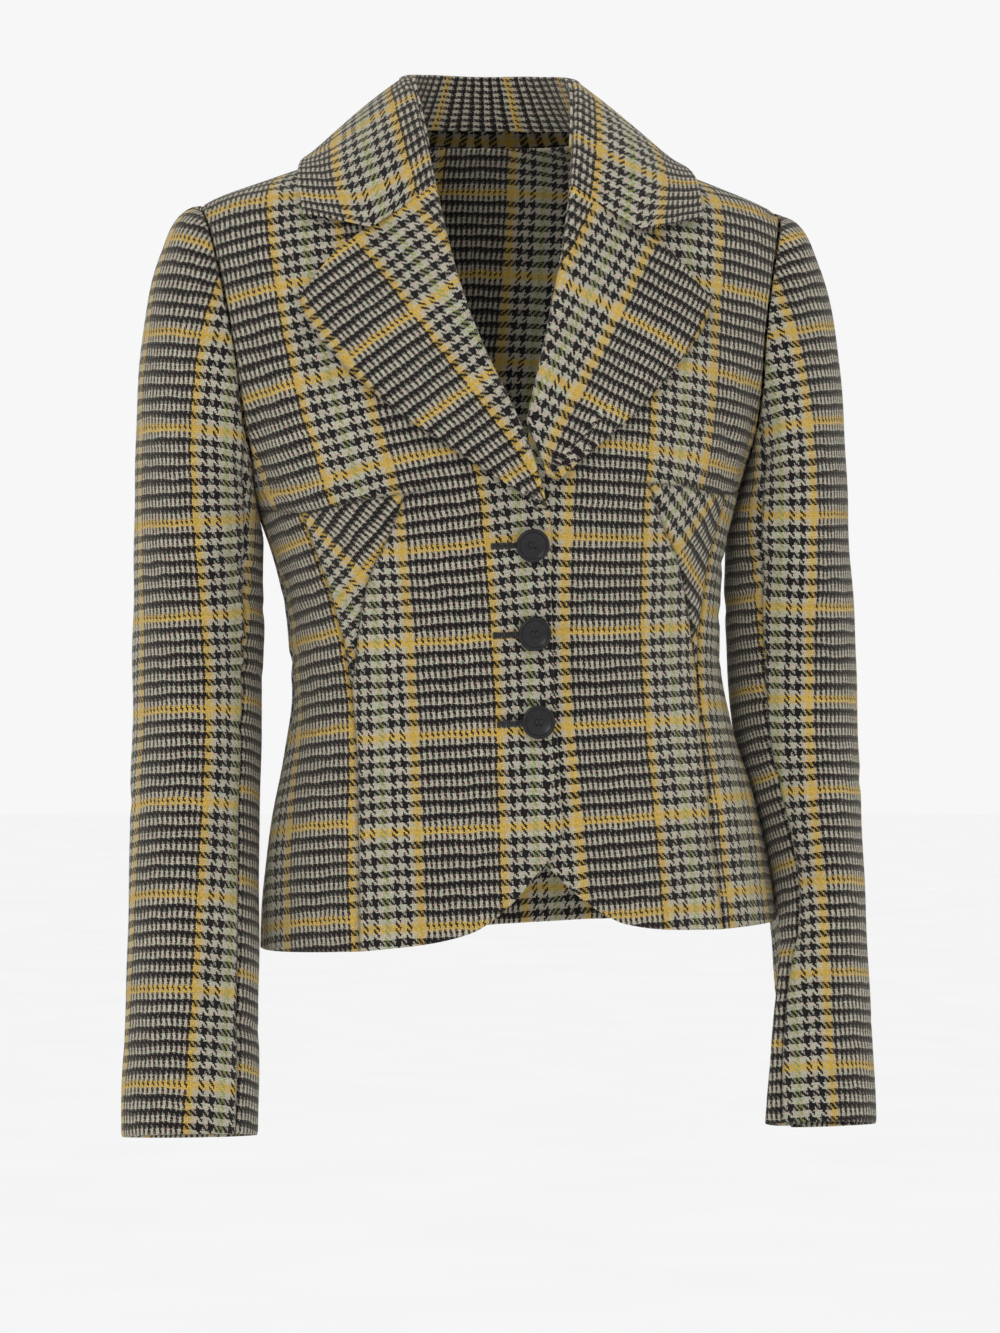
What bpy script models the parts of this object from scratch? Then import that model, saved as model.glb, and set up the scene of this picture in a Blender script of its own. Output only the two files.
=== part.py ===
"""A fitted three-button tweed hacking jacket, worn: a hollow shell of sewn panels, in metres, +Z up.

The origin is the middle of the neck base, between the shoulder seams. The front looks along -Y.
Torso panels are ranges of one torso surface, given by an angle (0 at centre front, 90 degrees at the
side, 180 at centre back) and a height. Everything that lies on a panel is made from that surface,
moved out. "Outward" is away from the wearer, and side is -1 for the wearer's right, 1 for the left.
"""

import math

import bpy
import numpy as np

# ---- driving dimensions (metres) ----
CLOTH = 0.0022  # one layer of tweed
LAPEL_CLOTH = 0.0030  # lapel and collar: two layers pressed together
SEAM = 0.0002  # each piece stops this far short of its seam line
LIE = 0.0005  # clearance of a piece that lies on another
COLLAR_STANDOFF = 0.0036  # the collar's fall stays at least this far off the shoulders
STAND_START = 0.16  # the collar stand begins at this share of the way from the gorge to centre back
STAND_INSET, STAND_DROP = 0.0004, 0.0040  # the stand lies this far inside and below the fold line
SQUARE_FRONT, SQUARE_BACK = 2.35, 2.25  # superellipse powers of the torso's sections

HEM = -0.543  # height of the hem at its lowest
SHOULDER_Z, NECK_Z = -0.055, -0.006  # outer and inner ends of the shoulder seam
UNDERARM_Z = -0.240
ROLL_TOP_Z, ROLL_END_Z = -0.046, -0.262
BACK_SEAM_TOP_Z = -0.150  # where the back princess seam reaches the armhole
OVERLAP = 0.013  # each front runs this far past centre front
GORE_TIP_Z = -0.370

BUTTON_Z = (-0.284, -0.342, -0.400)
BUTTON_RADIUS, BUTTON_HEIGHT, BUTTON_STANDOFF = 0.011, 0.0044, 0.0022
BUTTONHOLE_LENGTH, BUTTONHOLE_WIDTH, BUTTONHOLE_HEIGHT = 0.028, 0.0036, 0.0009

TWEED = (0.165, 0.150, 0.105)
TWEED_BIAS = (0.150, 0.140, 0.100)
BLACK_HORN = (0.012, 0.012, 0.014)
BLACK_THREAD = (0.010, 0.012, 0.011)

# Sections of the torso: half width at the sides, depth of the front and of the back from the side line.
TORSO = (
    # height, half_width, front, back
    (0.020, 0.052, 0.045, 0.052),
    (0.005, 0.060, 0.050, 0.058),
    (-0.006, 0.068, 0.053, 0.064),
    (-0.027, 0.122, 0.060, 0.078),
    (-0.040, 0.158, 0.066, 0.084),
    (-0.055, 0.196, 0.072, 0.090),
    (-0.075, 0.206, 0.080, 0.096),
    (-0.110, 0.206, 0.090, 0.102),
    (-0.150, 0.200, 0.101, 0.106),
    (-0.200, 0.184, 0.113, 0.106),
    (-0.245, 0.165, 0.117, 0.102),
    (-0.285, 0.153, 0.112, 0.094),
    (-0.330, 0.146, 0.105, 0.086),
    (-0.370, 0.145, 0.103, 0.083),
    (-0.410, 0.151, 0.104, 0.088),
    (-0.450, 0.161, 0.107, 0.097),
    (-0.500, 0.170, 0.111, 0.106),
    (-0.560, 0.176, 0.115, 0.113),
)

# Seam lines on one half of the front, as distance from centre front at each height.
ROLL_LINE = (
    # height, across
    (-0.262, -0.012),
    (-0.211, 0.000),
    (-0.152, 0.020),
    (-0.100, 0.034),
    (-0.046, 0.044),
)
GORE_FRONT_SEAM = (
    (-0.370, 0.1165),
    (-0.320, 0.1090),
    (-0.297, 0.1030),
    (-0.275, 0.0920),
    (-0.247, 0.0810),
)
GORE_SIDE_SEAM = (
    (-0.370, 0.1175),
    (-0.348, 0.1195),
    (-0.310, 0.1270),
    (-0.286, 0.1340),
    (-0.256, 0.1435),
)
PRINCESS_SEAM = (
    (-0.560, 0.1235),
    (-0.467, 0.1185),
    (-0.407, 0.1160),
    (-0.370, 0.1170),
)
ARMHOLE = (
    (-0.240, 0.1670),
    (-0.225, 0.1690),
    (-0.190, 0.1745),
    (-0.150, 0.1780),
    (-0.110, 0.1840),
    (-0.080, 0.1900),
    (-0.055, 0.1960),
)
BACK_PRINCESS_ANGLE = (
    # height, degrees
    (-0.560, 142.0),
    (-0.450, 143.0),
    (-0.370, 146.0),
    (-0.250, 138.0),
    (-0.180, 120.0),
    (-0.150, 108.5),
)
UNDER_BUST_SEAM = (
    # across, height
    (-0.013, -0.2450),
    (0.084, -0.2475),
    (0.113, -0.2510),
    (0.143, -0.2560),
    (0.166, -0.2510),
)
FRONT_HEM = (
    # across, height
    (-0.013, -0.4700),
    (-0.006, -0.4870),
    (0.004, -0.4960),
    (0.020, -0.5130),
    (0.036, -0.5260),
    (0.052, -0.5345),
    (0.080, -0.5400),
    (0.120, -0.5430),
)
# Heights of the rows that the lower panels share, and of those beside the armhole and the shoulder seam.
LEVELS = (-0.525, -0.505, -0.480, -0.450, -0.420, -0.390, -0.370, -0.360, -0.336, -0.310, -0.290, -0.270)
ARMHOLE_HEIGHTS = (UNDERARM_Z, -0.210, -0.180, BACK_SEAM_TOP_Z)
CHEST_HEIGHTS = (-0.120, -0.095)
SHOULDER_HEIGHTS = (-0.078, -0.066, -0.058, SHOULDER_Z, -0.049, -0.036, -0.022)
HEM_BEND = -0.440  # below this height the levels bend to follow the hem
GORE_LOW_Z, GORE_FLOOR = -0.360, -0.350  # the gore's last row, and the lowest shared row above it
GORE_CORNER_Z = -0.2475  # where the gore's front seam meets the under-bust seam
SHOULDER_SPLIT = 52  # degrees, where the line above that corner reaches the shoulder seam
FRONT_SIDE_LOW_Z = -0.251  # the front's lowest row beside the gore

# Sleeve sections below the armhole. The wearer's left sleeve is pressed flat beside the hip.
SLEEVES = {
    -1: (
        # height, centre_x, centre_y, half_width, half_depth
        (-0.270, 0.1960, 0.004, 0.0430, 0.062),
        (-0.340, 0.1960, 0.006, 0.0440, 0.057),
        (-0.420, 0.1980, -0.004, 0.0430, 0.052),
        (-0.500, 0.2010, -0.026, 0.0430, 0.047),
        (-0.580, 0.2035, -0.048, 0.0435, 0.043),
        (-0.640, 0.2060, -0.063, 0.0450, 0.0405),
        (-0.670, 0.2070, -0.071, 0.0450, 0.0395),
    ),
    1: (
        (-0.270, 0.2040, 0.004, 0.0410, 0.062),
        (-0.340, 0.2080, 0.008, 0.0440, 0.057),
        (-0.420, 0.2120, 0.008, 0.0420, 0.055),
        (-0.480, 0.2205, 0.002, 0.0345, 0.056),
        (-0.530, 0.2240, -0.008, 0.0310, 0.054),
        (-0.590, 0.2160, -0.026, 0.0390, 0.047),
        (-0.640, 0.2130, -0.041, 0.0425, 0.042),
        (-0.670, 0.2120, -0.050, 0.0430, 0.0395),
    ),
}
CAP_REACH = 0.140  # how boldly the sleeve head springs from the shoulder
FRONT_SLEEVE_SEAM, BACK_SLEEVE_SEAM = -40, -160  # degrees around the tube, 0 in front, 90 outside
SLEEVE_TURNS = (-180, -160, -140, -120, -100, -80, -60, -40, -20, 0, 18, 36, 54, 72, 90, 108, 126, 144, 162)

# The collar: its fold line, the middle of its fall and its outer edge, from the gorge to centre back.
COLLAR = (
    # fold x, y, z; middle x, y, z; edge x, y, z
    ((0.044, -0.068, -0.046), (0.088, -0.084, -0.076), (0.133, -0.072, -0.067)),
    ((0.050, -0.048, -0.006), (0.097, -0.058, -0.030), (0.132, -0.040, -0.043)),
    ((0.055, -0.010, 0.034), (0.092, -0.006, 0.006), (0.122, 0.002, -0.021)),
    ((0.044, 0.034, 0.040), (0.076, 0.048, 0.012), (0.100, 0.060, -0.022)),
    ((0.024, 0.053, 0.042), (0.042, 0.075, 0.012), (0.056, 0.088, -0.028)),
    ((0.000, 0.058, 0.042), (0.000, 0.081, 0.012), (0.000, 0.094, -0.030)),
)
NECK_SEAM = (
    # x, y, z of the collar stand's lower edge, from the front of the neck to centre back
    (0.0560, -0.0475, -0.0190),
    (0.0670, -0.0180, -0.0030),
    (0.0620, 0.0220, 0.0010),
    (0.0340, 0.0530, 0.0040),
    (0.0000, 0.0610, 0.0050),
)
LAPEL_TOP = ((0.044, -0.046), (0.088, -0.076), (0.112, -0.095), (0.135, -0.122))
LAPEL_EDGE = (
    (0.135, -0.122),
    (0.132, -0.134),
    (0.107, -0.169),
    (0.075, -0.200),
    (0.045, -0.223),
    (0.018, -0.243),
)
LAPEL_LOW_CORNER = (-0.0095, -0.2600)  # where the overlapping lapel's edge runs out
LAPEL_LOW_Z = {-1: -0.2585, 1: -0.2400}


# ---- curves ----
def slopes(xs, ys):
    """Slopes that keep a cubic through the points from overshooting them."""
    rise = np.diff(ys) / np.diff(xs)
    slope = np.concatenate([rise[:1], np.zeros(len(xs) - 2), rise[-1:]])
    for i in range(1, len(xs) - 1):
        if rise[i - 1] * rise[i] > 0:
            slope[i] = 2 * rise[i - 1] * rise[i] / (rise[i - 1] + rise[i])
    return slope


def curve(table, column=1):
    """A smooth function through one column of a table, whose first column is the variable."""
    rows = sorted(table)
    xs = np.array([row[0] for row in rows])
    ys = np.array([row[column] for row in rows])
    slope = slopes(xs, ys)

    def value(x):
        k = int(np.clip(np.searchsorted(xs, x) - 1, 0, len(xs) - 2))
        step = xs[k + 1] - xs[k]
        t = min(max((x - xs[k]) / step, 0.0), 1.0)
        start = (1 + 2 * t) * (1 - t) ** 2 * ys[k] + t * (1 - t) ** 2 * step * slope[k]
        end = t * t * (3 - 2 * t) * ys[k + 1] + t * t * (t - 1) * step * slope[k + 1]
        return start + end

    return value


def along(points, share):
    """The point at a share of a chain's length, smoothed between its points."""
    chain = np.array(points, float)
    reach = np.concatenate([[0.0], np.cumsum(np.linalg.norm(np.diff(chain, axis=0), axis=1))])
    reach /= reach[-1]
    table = [(r, *p) for r, p in zip(reach, chain)]
    return np.array([curve(table, c + 1)(share) for c in range(chain.shape[1])])


def ease(t):
    t = min(max(t, 0.0), 1.0)
    return t * t * (3 - 2 * t)


# ---- the torso surface ----
half_width = curve(TORSO, 1)
front_depth = curve(TORSO, 2)
back_depth = curve(TORSO, 3)


def radius(angle, z):
    c = math.cos(angle)
    depth, power = (front_depth(z), SQUARE_FRONT) if c > 0 else (back_depth(z), SQUARE_BACK)
    return ((abs(math.sin(angle)) / half_width(z)) ** power + (abs(c) / depth) ** power) ** (-1 / power)


def torso(angle, z):
    r = radius(angle, z)
    return np.array([r * math.sin(angle), -r * math.cos(angle), z])


def gap_to_torso(point):
    """The distance of a point outside the torso surface, and the way out."""

    def level(p):
        return math.hypot(p[0], p[1]) - radius(math.atan2(p[0], -p[1]), p[2])

    step = 1e-4
    slope = np.array([level(point + step * axis) - level(point - step * axis) for axis in np.eye(3)])
    slope /= 2 * step
    size = np.linalg.norm(slope)
    return level(point) / size, slope / size


def outward(point):
    return gap_to_torso(point)[1]


def lifted(point, gap):
    """The point, moved out of the torso surface until it is at least gap away."""
    for _ in range(6):
        distance, way = gap_to_torso(point)
        if distance >= gap:
            break
        point = point + (gap - distance) * way
    return point


def angle_at(across, z):
    """The angle at which a front seam lies, from its distance from centre front."""
    share = min(abs(across) / half_width(z), 1.0)
    y = front_depth(z) * (1 - share**SQUARE_FRONT) ** (1 / SQUARE_FRONT)
    return math.atan2(across, y)


def on_chest(across, z):
    """The point of the torso's front surface at this place of the front view."""
    return torso(angle_at(across, z), z)


def posture(point):
    """The wearer's stance: below the chest the jacket turns, rolls and drifts a little to the left."""
    x, y, z = point
    share = ease((-0.08 - z) / 0.18)
    turn = math.radians(3.0) * share
    x, y = x * math.cos(turn) - y * math.sin(turn), x * math.sin(turn) + y * math.cos(turn)
    return np.array([x + 0.047 * share * max(0.0, -0.13 - z), y, z + 0.05 * share * x])


def without_posture(point):
    plain = np.array(point, float)
    for _ in range(12):
        plain = plain + np.array(point) - posture(plain)
    return plain


# ---- solids ----
def finish(name, vertices, faces, colour, roughness):
    mesh = bpy.data.meshes.new(name)
    mesh.from_pydata([tuple(float(c) for c in v) for v in vertices], [], faces)
    mesh.validate()
    mesh.update()
    piece = bpy.data.objects.new(name, mesh)
    bpy.context.scene.collection.objects.link(piece)
    material = bpy.data.materials.new(name)
    material.use_nodes = True
    shader = material.node_tree.nodes["Principled BSDF"]
    shader.inputs["Base Color"].default_value = (*colour, 1.0)
    shader.inputs["Roughness"].default_value = roughness
    shader.inputs["Metallic"].default_value = 0.0
    mesh.materials.append(material)
    mesh.shade_smooth()
    mesh.set_sharp_from_angle(angle=math.radians(40))
    return piece


def panel(name, outer, inner, colour, wanted=None):
    """A closed wall between two grids of points, over the cells that are wanted."""
    rows, columns = len(outer), len(outer[0])
    used = {}
    vertices = []
    faces = []

    def vertex(layer, i, j):
        if (layer, i, j) not in used:
            used[layer, i, j] = len(vertices)
            vertices.append((outer, inner)[layer][i][j])
        return used[layer, i, j]

    cells = [
        (i, j)
        for i in range(rows - 1)
        for j in range(columns - 1)
        if wanted is None or wanted(i, j)
    ]
    edges = {}
    for i, j in cells:
        corners = [(i, j), (i, j + 1), (i + 1, j + 1), (i + 1, j)]
        faces.append([vertex(0, *c) for c in corners])
        faces.append([vertex(1, *c) for c in reversed(corners)])
        for a, b in zip(corners, corners[1:] + corners[:1]):
            edges[a, b] = True
    for a, b in edges:
        if (b, a) not in edges:
            faces.append([vertex(0, *b), vertex(0, *a), vertex(1, *a), vertex(1, *b)])
    finish(name, vertices, turned_out(vertices, faces), colour, 0.92)


def turned_out(vertices, faces):
    """The faces, reversed if they enclose a negative volume."""
    points = np.array(vertices, float)
    volume = 0.0
    for face in faces:
        for k in range(1, len(face) - 1):
            volume += np.dot(points[face[0]], np.cross(points[face[k]], points[face[k + 1]]))
    return faces if volume > 0 else [list(reversed(face)) for face in faces]


def grid_normals(grid, closed=False):
    """Unit normals of a grid of points, whose columns may close into a ring."""
    points = np.array(grid, float)
    if closed:
        across = np.roll(points, -1, axis=1) - np.roll(points, 1, axis=1)
    else:
        across = np.gradient(points, axis=1)
    normal = np.cross(across, np.gradient(points, axis=0))
    return normal / np.linalg.norm(normal, axis=2, keepdims=True)


# ---- torso panels ----
under_bust = curve(UNDER_BUST_SEAM)
front_hem = curve(FRONT_HEM)
roll_across = curve(ROLL_LINE)
gore_front = curve(GORE_FRONT_SEAM)
gore_side = curve(GORE_SIDE_SEAM)
princess = curve(PRINCESS_SEAM)
armhole_across = curve(ARMHOLE)
back_princess = curve(BACK_PRINCESS_ANGLE)


def seam_angle(across, z):
    return angle_at(across(z), z)


def front_seam(z):
    """The seam that ends the centre front below the bust: the gore's, then the princess seam."""
    return seam_angle(gore_front if z > GORE_TIP_Z else princess, z)


def side_front_seam(z):
    return seam_angle(gore_side if z > GORE_TIP_Z else princess, z)


def front_edge(z):
    if z > ROLL_END_Z:
        return seam_angle(roll_across, z)
    return angle_at(-OVERLAP, z)


def armhole_front(z):
    return seam_angle(armhole_across, z) if z < SHOULDER_Z else math.pi / 2


def armhole_back(z):
    """The back's half of the armhole, as wide as the front's."""
    share = min(armhole_across(z) / half_width(z), 1.0)
    y = back_depth(z) * (1 - share**SQUARE_BACK) ** (1 / SQUARE_BACK)
    return math.atan2(armhole_across(z), -y)


def wrapped(z):
    """Where the front of the wearer's left passes behind that of the right, 0 to 1."""
    return ease((-0.185 - z) / 0.025)


def torso_wall(points, side):
    """Outer and inner grids from (angle, height) pairs on one side of the body."""
    outer, inner = [], []
    for row in points:
        outer.append([])
        inner.append([])
        for angle, z in row:
            point = torso(side * angle, z)
            way = outward(point)
            if side > 0 and angle < math.pi / 2:
                tuck = (CLOTH + 0.0006) * wrapped(z) * ease((0.027 - point[0]) / 0.011)
                point = point - tuck * way
            outer[-1].append(posture(point))
            inner[-1].append(posture(point - CLOTH * way))
    return outer, inner


def seam_step(z, angle):
    return SEAM / radius(angle, z)


def between(start, end, z, share):
    """The angle at a share of the way between two seams, each stopping short of its line."""
    first, last = start(z), end(z)
    first += seam_step(z, first)
    last -= seam_step(z, last)
    return first + (last - first) * share


def height_of(level, angle):
    """A level's height at an angle: a seam's own, or a fixed height that bends with the hem low down."""
    if callable(level):
        return level(angle)
    if level > HEM_BEND:
        return level
    hem = hem_at(angle)
    return hem + (level - HEM) / (HEM_BEND - HEM) * (HEM_BEND - hem)


def lower_rows(top, bottom, columns, start, end, floor=-1.0):
    """Rows from hem to top seam, on the levels that all the lower panels share."""
    rows = []
    for level in (bottom, *[z for z in LEVELS if z >= floor], top):
        row = []
        for share in columns:
            z = -0.4
            for _ in range(5):
                angle = between(start, end, z, share)
                z = height_of(level, angle)
            row.append((angle, z))
        rows.append(row)
    return rows


def hem_at(angle):
    """The hem: rounded off at the front, nearly level at the sides and back."""
    if angle > math.pi / 2:
        return HEM
    across = torso(angle, HEM)[0]
    return front_hem(across)


def under_bust_at(angle):
    return under_bust(torso(angle, -0.25)[0]) - 2 * SEAM


def make_front(name, side):
    """The front: one piece from shoulder to hem at centre front, which ends under the bust beside it."""
    low_columns = (0.0, 0.12, 0.24, 0.34, 0.56, 0.78, 1.0)
    side_columns = (0.2, 0.4, 0.6, 0.8, 1.0)
    rows = lower_rows(under_bust_at, hem_at, low_columns, front_edge, front_seam)
    low_count = len(rows) - 1
    filler = [(math.pi / 3, HEM)] * len(side_columns)
    rows = [row + filler for row in rows[:-1]]
    side_heights = (FRONT_SIDE_LOW_Z, *ARMHOLE_HEIGHTS, *CHEST_HEIGHTS, *SHOULDER_HEIGHTS, NECK_Z)
    rise = side_heights[-1] - side_heights[0]
    split_low = front_seam(GORE_CORNER_Z)
    split_high = math.radians(SHOULDER_SPLIT)
    for side_z in side_heights:
        share_up = (side_z - side_heights[0]) / rise
        row = []
        for k, share in enumerate(low_columns + tuple(1 + s for s in side_columns)):
            z = -0.25
            for _ in range(5):
                split = split_low + (split_high - split_low) * share_up
                first = front_edge(z) + seam_step(z, front_edge(z))
                last = armhole_front(z) if z > UNDERARM_Z else math.pi / 2
                last -= seam_step(z, last)
                if share <= 1:
                    angle = first + (split - seam_step(z, split) - first) * share
                else:
                    angle = split + (last - split) * (share - 1)
                low = under_bust_at(angle) + 4 * SEAM if k >= len(low_columns) - 1 else under_bust_at(angle)
                total = (angle - first) / (last - first)
                top = ROLL_TOP_Z + (NECK_Z - ROLL_TOP_Z) * total
                z = low + (top - low) * share_up
            row.append((angle, z))
        rows.append(row)
    last_low = len(low_columns) - 1
    panel(name, *torso_wall(rows, side), TWEED, lambda i, j: i >= low_count or j < last_low)


def make_gore(name, side):
    """The bias-cut gore under the bust, a long triangle with its point at the waist."""
    columns = (0.0, 0.25, 0.5, 0.75, 1.0)
    rows = lower_rows(under_bust_at, GORE_LOW_Z, columns, front_seam, side_front_seam, GORE_FLOOR)
    panel(name, *torso_wall(rows, side), TWEED_BIAS)


def side_line(_z):
    return math.pi / 2


def make_side_front(name, side):
    columns = (0.0, 0.33, 0.67, 1.0)
    rows = lower_rows(under_bust_at, hem_at, columns, side_front_seam, side_line)
    panel(name, *torso_wall(rows, side), TWEED)


def back_seam(z):
    return math.radians(back_princess(z))


def make_side_back(name, side):
    """From the side seam to the back princess seam, up to the armhole."""
    columns = (0.0, 0.33, 0.67, 1.0)
    rows = []
    for z in (HEM, *LEVELS, *ARMHOLE_HEIGHTS):
        start = side_line if z <= UNDERARM_Z else armhole_back
        rows.append([(between(start, back_seam, z, share), z) for share in columns])
    panel(name, *torso_wall(rows, side), TWEED)


def centre_back(_z):
    return math.pi


def back_side(z):
    """The back panel's outer boundary: princess seam, armhole, then shoulder seam."""
    if z <= BACK_SEAM_TOP_Z:
        return back_seam(z)
    return armhole_back(z) if z < SHOULDER_Z else math.pi / 2


def make_back(name, side):
    columns = (0.0, 0.18, 0.36, 0.54, 0.70, 0.85, 1.0)
    heights = (HEM, *LEVELS, *ARMHOLE_HEIGHTS, *CHEST_HEIGHTS, *SHOULDER_HEIGHTS, NECK_Z)
    rows = []
    for z in heights:
        rows.append([(between(back_side, centre_back, z, share), z) for share in columns])
    panel(name, *torso_wall(rows, side), TWEED)


# ---- lapels ----
def lapel_height(share):
    """How far the lapel's underside stands off the front, highest where it rolls."""
    return 0.0010 + 0.0020 * (1 - ease(share / 0.45))


def make_lapel(name, side):
    """A lapel lying on its front, from the roll line to its outer edge."""
    inner_line = [(roll_across(z), z) for z in np.linspace(ROLL_TOP_Z, LAPEL_LOW_Z[side], 12)]
    if side > 0:
        # Low down, the overlapped lapel stays clear of the other one's edge.
        inner_line = [(max(x, (-0.211 - z) * 0.24 + 0.0025), z) for x, z in inner_line]
    edge = LAPEL_EDGE if side > 0 else (*LAPEL_EDGE, LAPEL_LOW_CORNER)
    shares = (0.0, 0.12, 0.26, 0.42, 0.60, 0.80, 1.0)
    grid, top = [], []
    for t in np.linspace(0, 1, 15):
        row, upper = [], []
        start, end = along(inner_line, t), along(edge, t)
        for s in shares:
            flat = start + (end - start) * s
            corner = np.array(inner_line[0]) * (1 - s) + np.array(LAPEL_EDGE[0]) * s
            flat = flat + (along(LAPEL_TOP, s) - corner) * (1 - t)
            if t == 0:
                flat[1] -= 2 * SEAM
            point = on_chest(side * flat[0], flat[1])
            way = outward(point)
            height = lapel_height(s)
            row.append(posture(point + height * way))
            upper.append(posture(point + (height + LAPEL_CLOTH) * way))
        grid.append(row)
        top.append(upper)
    panel(name, top, grid, TWEED)


# ---- collar ----
def collar_row(share):
    """Fold, middle and edge of the collar at a share of the way from the gorge to centre back."""
    stations = np.linspace(0, 1, len(COLLAR))
    found = []
    for k in range(3):
        table = [(s, *row[k]) for s, row in zip(stations, COLLAR)]
        found.append(np.array([curve(table, c + 1)(share) for c in range(3)]))
    return found


def collar_point(share, s):
    """The collar's underside: straight runs at its cut front end, a rounded fall elsewhere."""
    fold, middle, edge = collar_row(share)
    straight = fold + (middle - fold) * 2 * s if s < 0.5 else middle + (edge - middle) * (2 * s - 1)
    bend = (1 - s) * (1 - 2 * s) * fold + 4 * s * (1 - s) * middle + s * (2 * s - 1) * edge
    return straight + (bend - straight) * ease(share / 0.2)


def both_sides(half):
    """A row for one side, mirrored and joined at centre back."""
    return [(-x, y, z) for x, y, z in half] + [tuple(p) for p in reversed(half[:-1])]


def make_collar():
    shares = (0.0, 0.08, 0.2, 0.32, 0.44, 0.56, 0.68, 0.8, 0.9, 1.0)
    widths = (0.0, 0.12, 0.3, 0.5, 0.75, 1.0)
    half = [[collar_point(share, s) for s in widths] for share in shares]
    half = [[lifted(p, COLLAR_STANDOFF) for p in row] for row in half]
    half[0] = [on_chest(p[0], p[2] + 2 * SEAM) for p in half[0]]
    half[0] = [p + lapel_height(s) * outward(p) for p, s in zip(half[0], widths)]
    columns = [both_sides([row[k] for row in half]) for k in range(len(widths))]
    under = np.array(columns).transpose(1, 0, 2)
    normals = grid_normals(under)
    if np.sum(normals * (under - np.array((0.0, 0.0, -0.15)))) < 0:
        normals = -normals
    for end in (0, -1):
        normals[end] = [outward(p) for p in under[end]]
    panel("collar", list(under + LAPEL_CLOTH * normals), list(under), TWEED)


def make_collar_stand():
    """The standing part between the neck seam and the fold, round the back of the neck."""
    outer, inner = [], []
    rows = []
    for share in np.linspace(STAND_START, 1, 10):
        fold = collar_row(share)[0]
        seam = along(NECK_SEAM, (share - STAND_START) / (1 - STAND_START))
        top = fold - np.array((0.0, 0.0, STAND_DROP))
        rows.append([seam + (top - seam) * k for k in (0.0, 0.33, 0.67, 1.0)])
    columns = [both_sides([row[k] for row in rows]) for k in range(4)]
    grid = np.array(columns).transpose(1, 0, 2)
    for row in grid:
        outer.append([])
        inner.append([])
        for point in row:
            way = np.array((point[0], point[1], 0.0))
            way = way / np.linalg.norm(way)
            outer[-1].append(point - STAND_INSET * way)
            inner[-1].append(point - (STAND_INSET + CLOTH) * way)
    panel("collar_stand", outer, inner, TWEED)


# ---- sleeves ----
def armhole_point(side, turn):
    """The armhole seam: 90 degrees at the shoulder, 0 in front, -90 under the arm."""
    middle, reach = (SHOULDER_Z + UNDERARM_Z) / 2, (SHOULDER_Z - UNDERARM_Z) / 2
    z = middle + reach * math.sin(turn)
    angle = seam_angle(armhole_across, z) if math.cos(turn) > 0 else armhole_back(z)
    return posture(torso(side * angle, z)) + np.array((side * 0.0005, 0.0, 0.0))


def sleeve_section(side, turn, z):
    table = SLEEVES[side]
    centre_y = curve(table, 2)
    centre = np.array((curve(table, 1)(z), centre_y(z), z))
    lean = (centre_y(z + 0.01) - centre_y(z - 0.01)) / 0.02 * ease((-0.27 - z) / 0.20)
    front = np.array((0.0, -1.0, lean)) / math.hypot(1.0, lean)
    point = centre + np.array((curve(table, 3)(z) * math.sin(turn), 0.0, 0.0))
    point += curve(table, 4)(z) * math.cos(turn) * front
    return np.array((side * point[0], point[1], point[2]))


def sleeve_cap(side, turn, t):
    """From the armhole seam out over the sleeve head and down to the first section."""
    start = armhole_point(side, turn)
    end = sleeve_section(side, turn, SLEEVES[side][0][0])
    high = (1 + math.sin(turn)) / 2
    drop = end[2] - start[2]
    leave = np.array((side * CAP_REACH * high**1.3, -0.030 * math.cos(turn), drop * (1 - high) * 0.9))
    arrive = np.array((side * 0.002, 0.0, 0.9 * drop))
    a, b = (1 + 2 * t) * (1 - t) ** 2, t * (1 - t) ** 2
    c, d = t * t * (3 - 2 * t), t * t * (t - 1)
    return a * start + b * leave + c * end + d * arrive


def clear_of_body(point, from_seam):
    """The sleeve is pushed off the torso where it would touch it."""
    plain = without_posture(point)
    return posture(lifted(plain, min(0.0005 + 0.15 * from_seam, 0.0030)))


def make_sleeve(side, word):
    turns = [math.radians(a) for a in SLEEVE_TURNS]
    grid = []
    for t in (0.0, 0.08, 0.18, 0.32, 0.5, 0.75):
        grid.append([sleeve_cap(side, turn, t) for turn in turns])
    for z in (-0.270, -0.320, -0.370, -0.420, -0.460, -0.500, -0.540, -0.580, -0.625, -0.670):
        grid.append([sleeve_section(side, turn, z) for turn in turns])
    start = grid[0]
    grid = [[clear_of_body(p, np.linalg.norm(p - a)) for p, a in zip(row, start)] for row in grid]
    points = np.array(grid)
    normals = grid_normals(points, closed=True)
    outside = points[-1] - points[-1].mean(axis=0)
    if np.sum(normals[-1] * outside) < 0:
        normals = -normals
    inner = points - CLOTH * normals
    count = len(turns)
    front = SLEEVE_TURNS.index(FRONT_SLEEVE_SEAM)
    back = SLEEVE_TURNS.index(BACK_SLEEVE_SEAM)
    under = list(range(back, front + 1))
    over = list(range(front, count)) + list(range(0, back + 1))
    for name, order in (("sleeve_under_" + word, under), ("sleeve_top_" + word, over)):
        outer_part, inner_part = points[:, order].copy(), inner[:, order].copy()
        for grid_part in (outer_part, inner_part):
            for end, beside in ((0, 1), (-1, -2)):
                step = grid_part[:, beside] - grid_part[:, end]
                step /= np.linalg.norm(step, axis=1, keepdims=True)
                grid_part[:, end] += SEAM * step
        panel(name, list(outer_part), list(inner_part), TWEED)


# ---- buttons ----
def front_frame(z):
    """Place and axes of something fastened at centre front: across, up and outward."""
    point = on_chest(0.0, z)
    centre = posture(point)
    way = posture(point + 0.01 * outward(point)) - centre
    way /= np.linalg.norm(way)
    across = posture(point + np.array((0.01, 0.0, 0.0))) - centre
    across -= np.dot(across, way) * way
    across /= np.linalg.norm(across)
    return centre, across, np.cross(way, across), way


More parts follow.
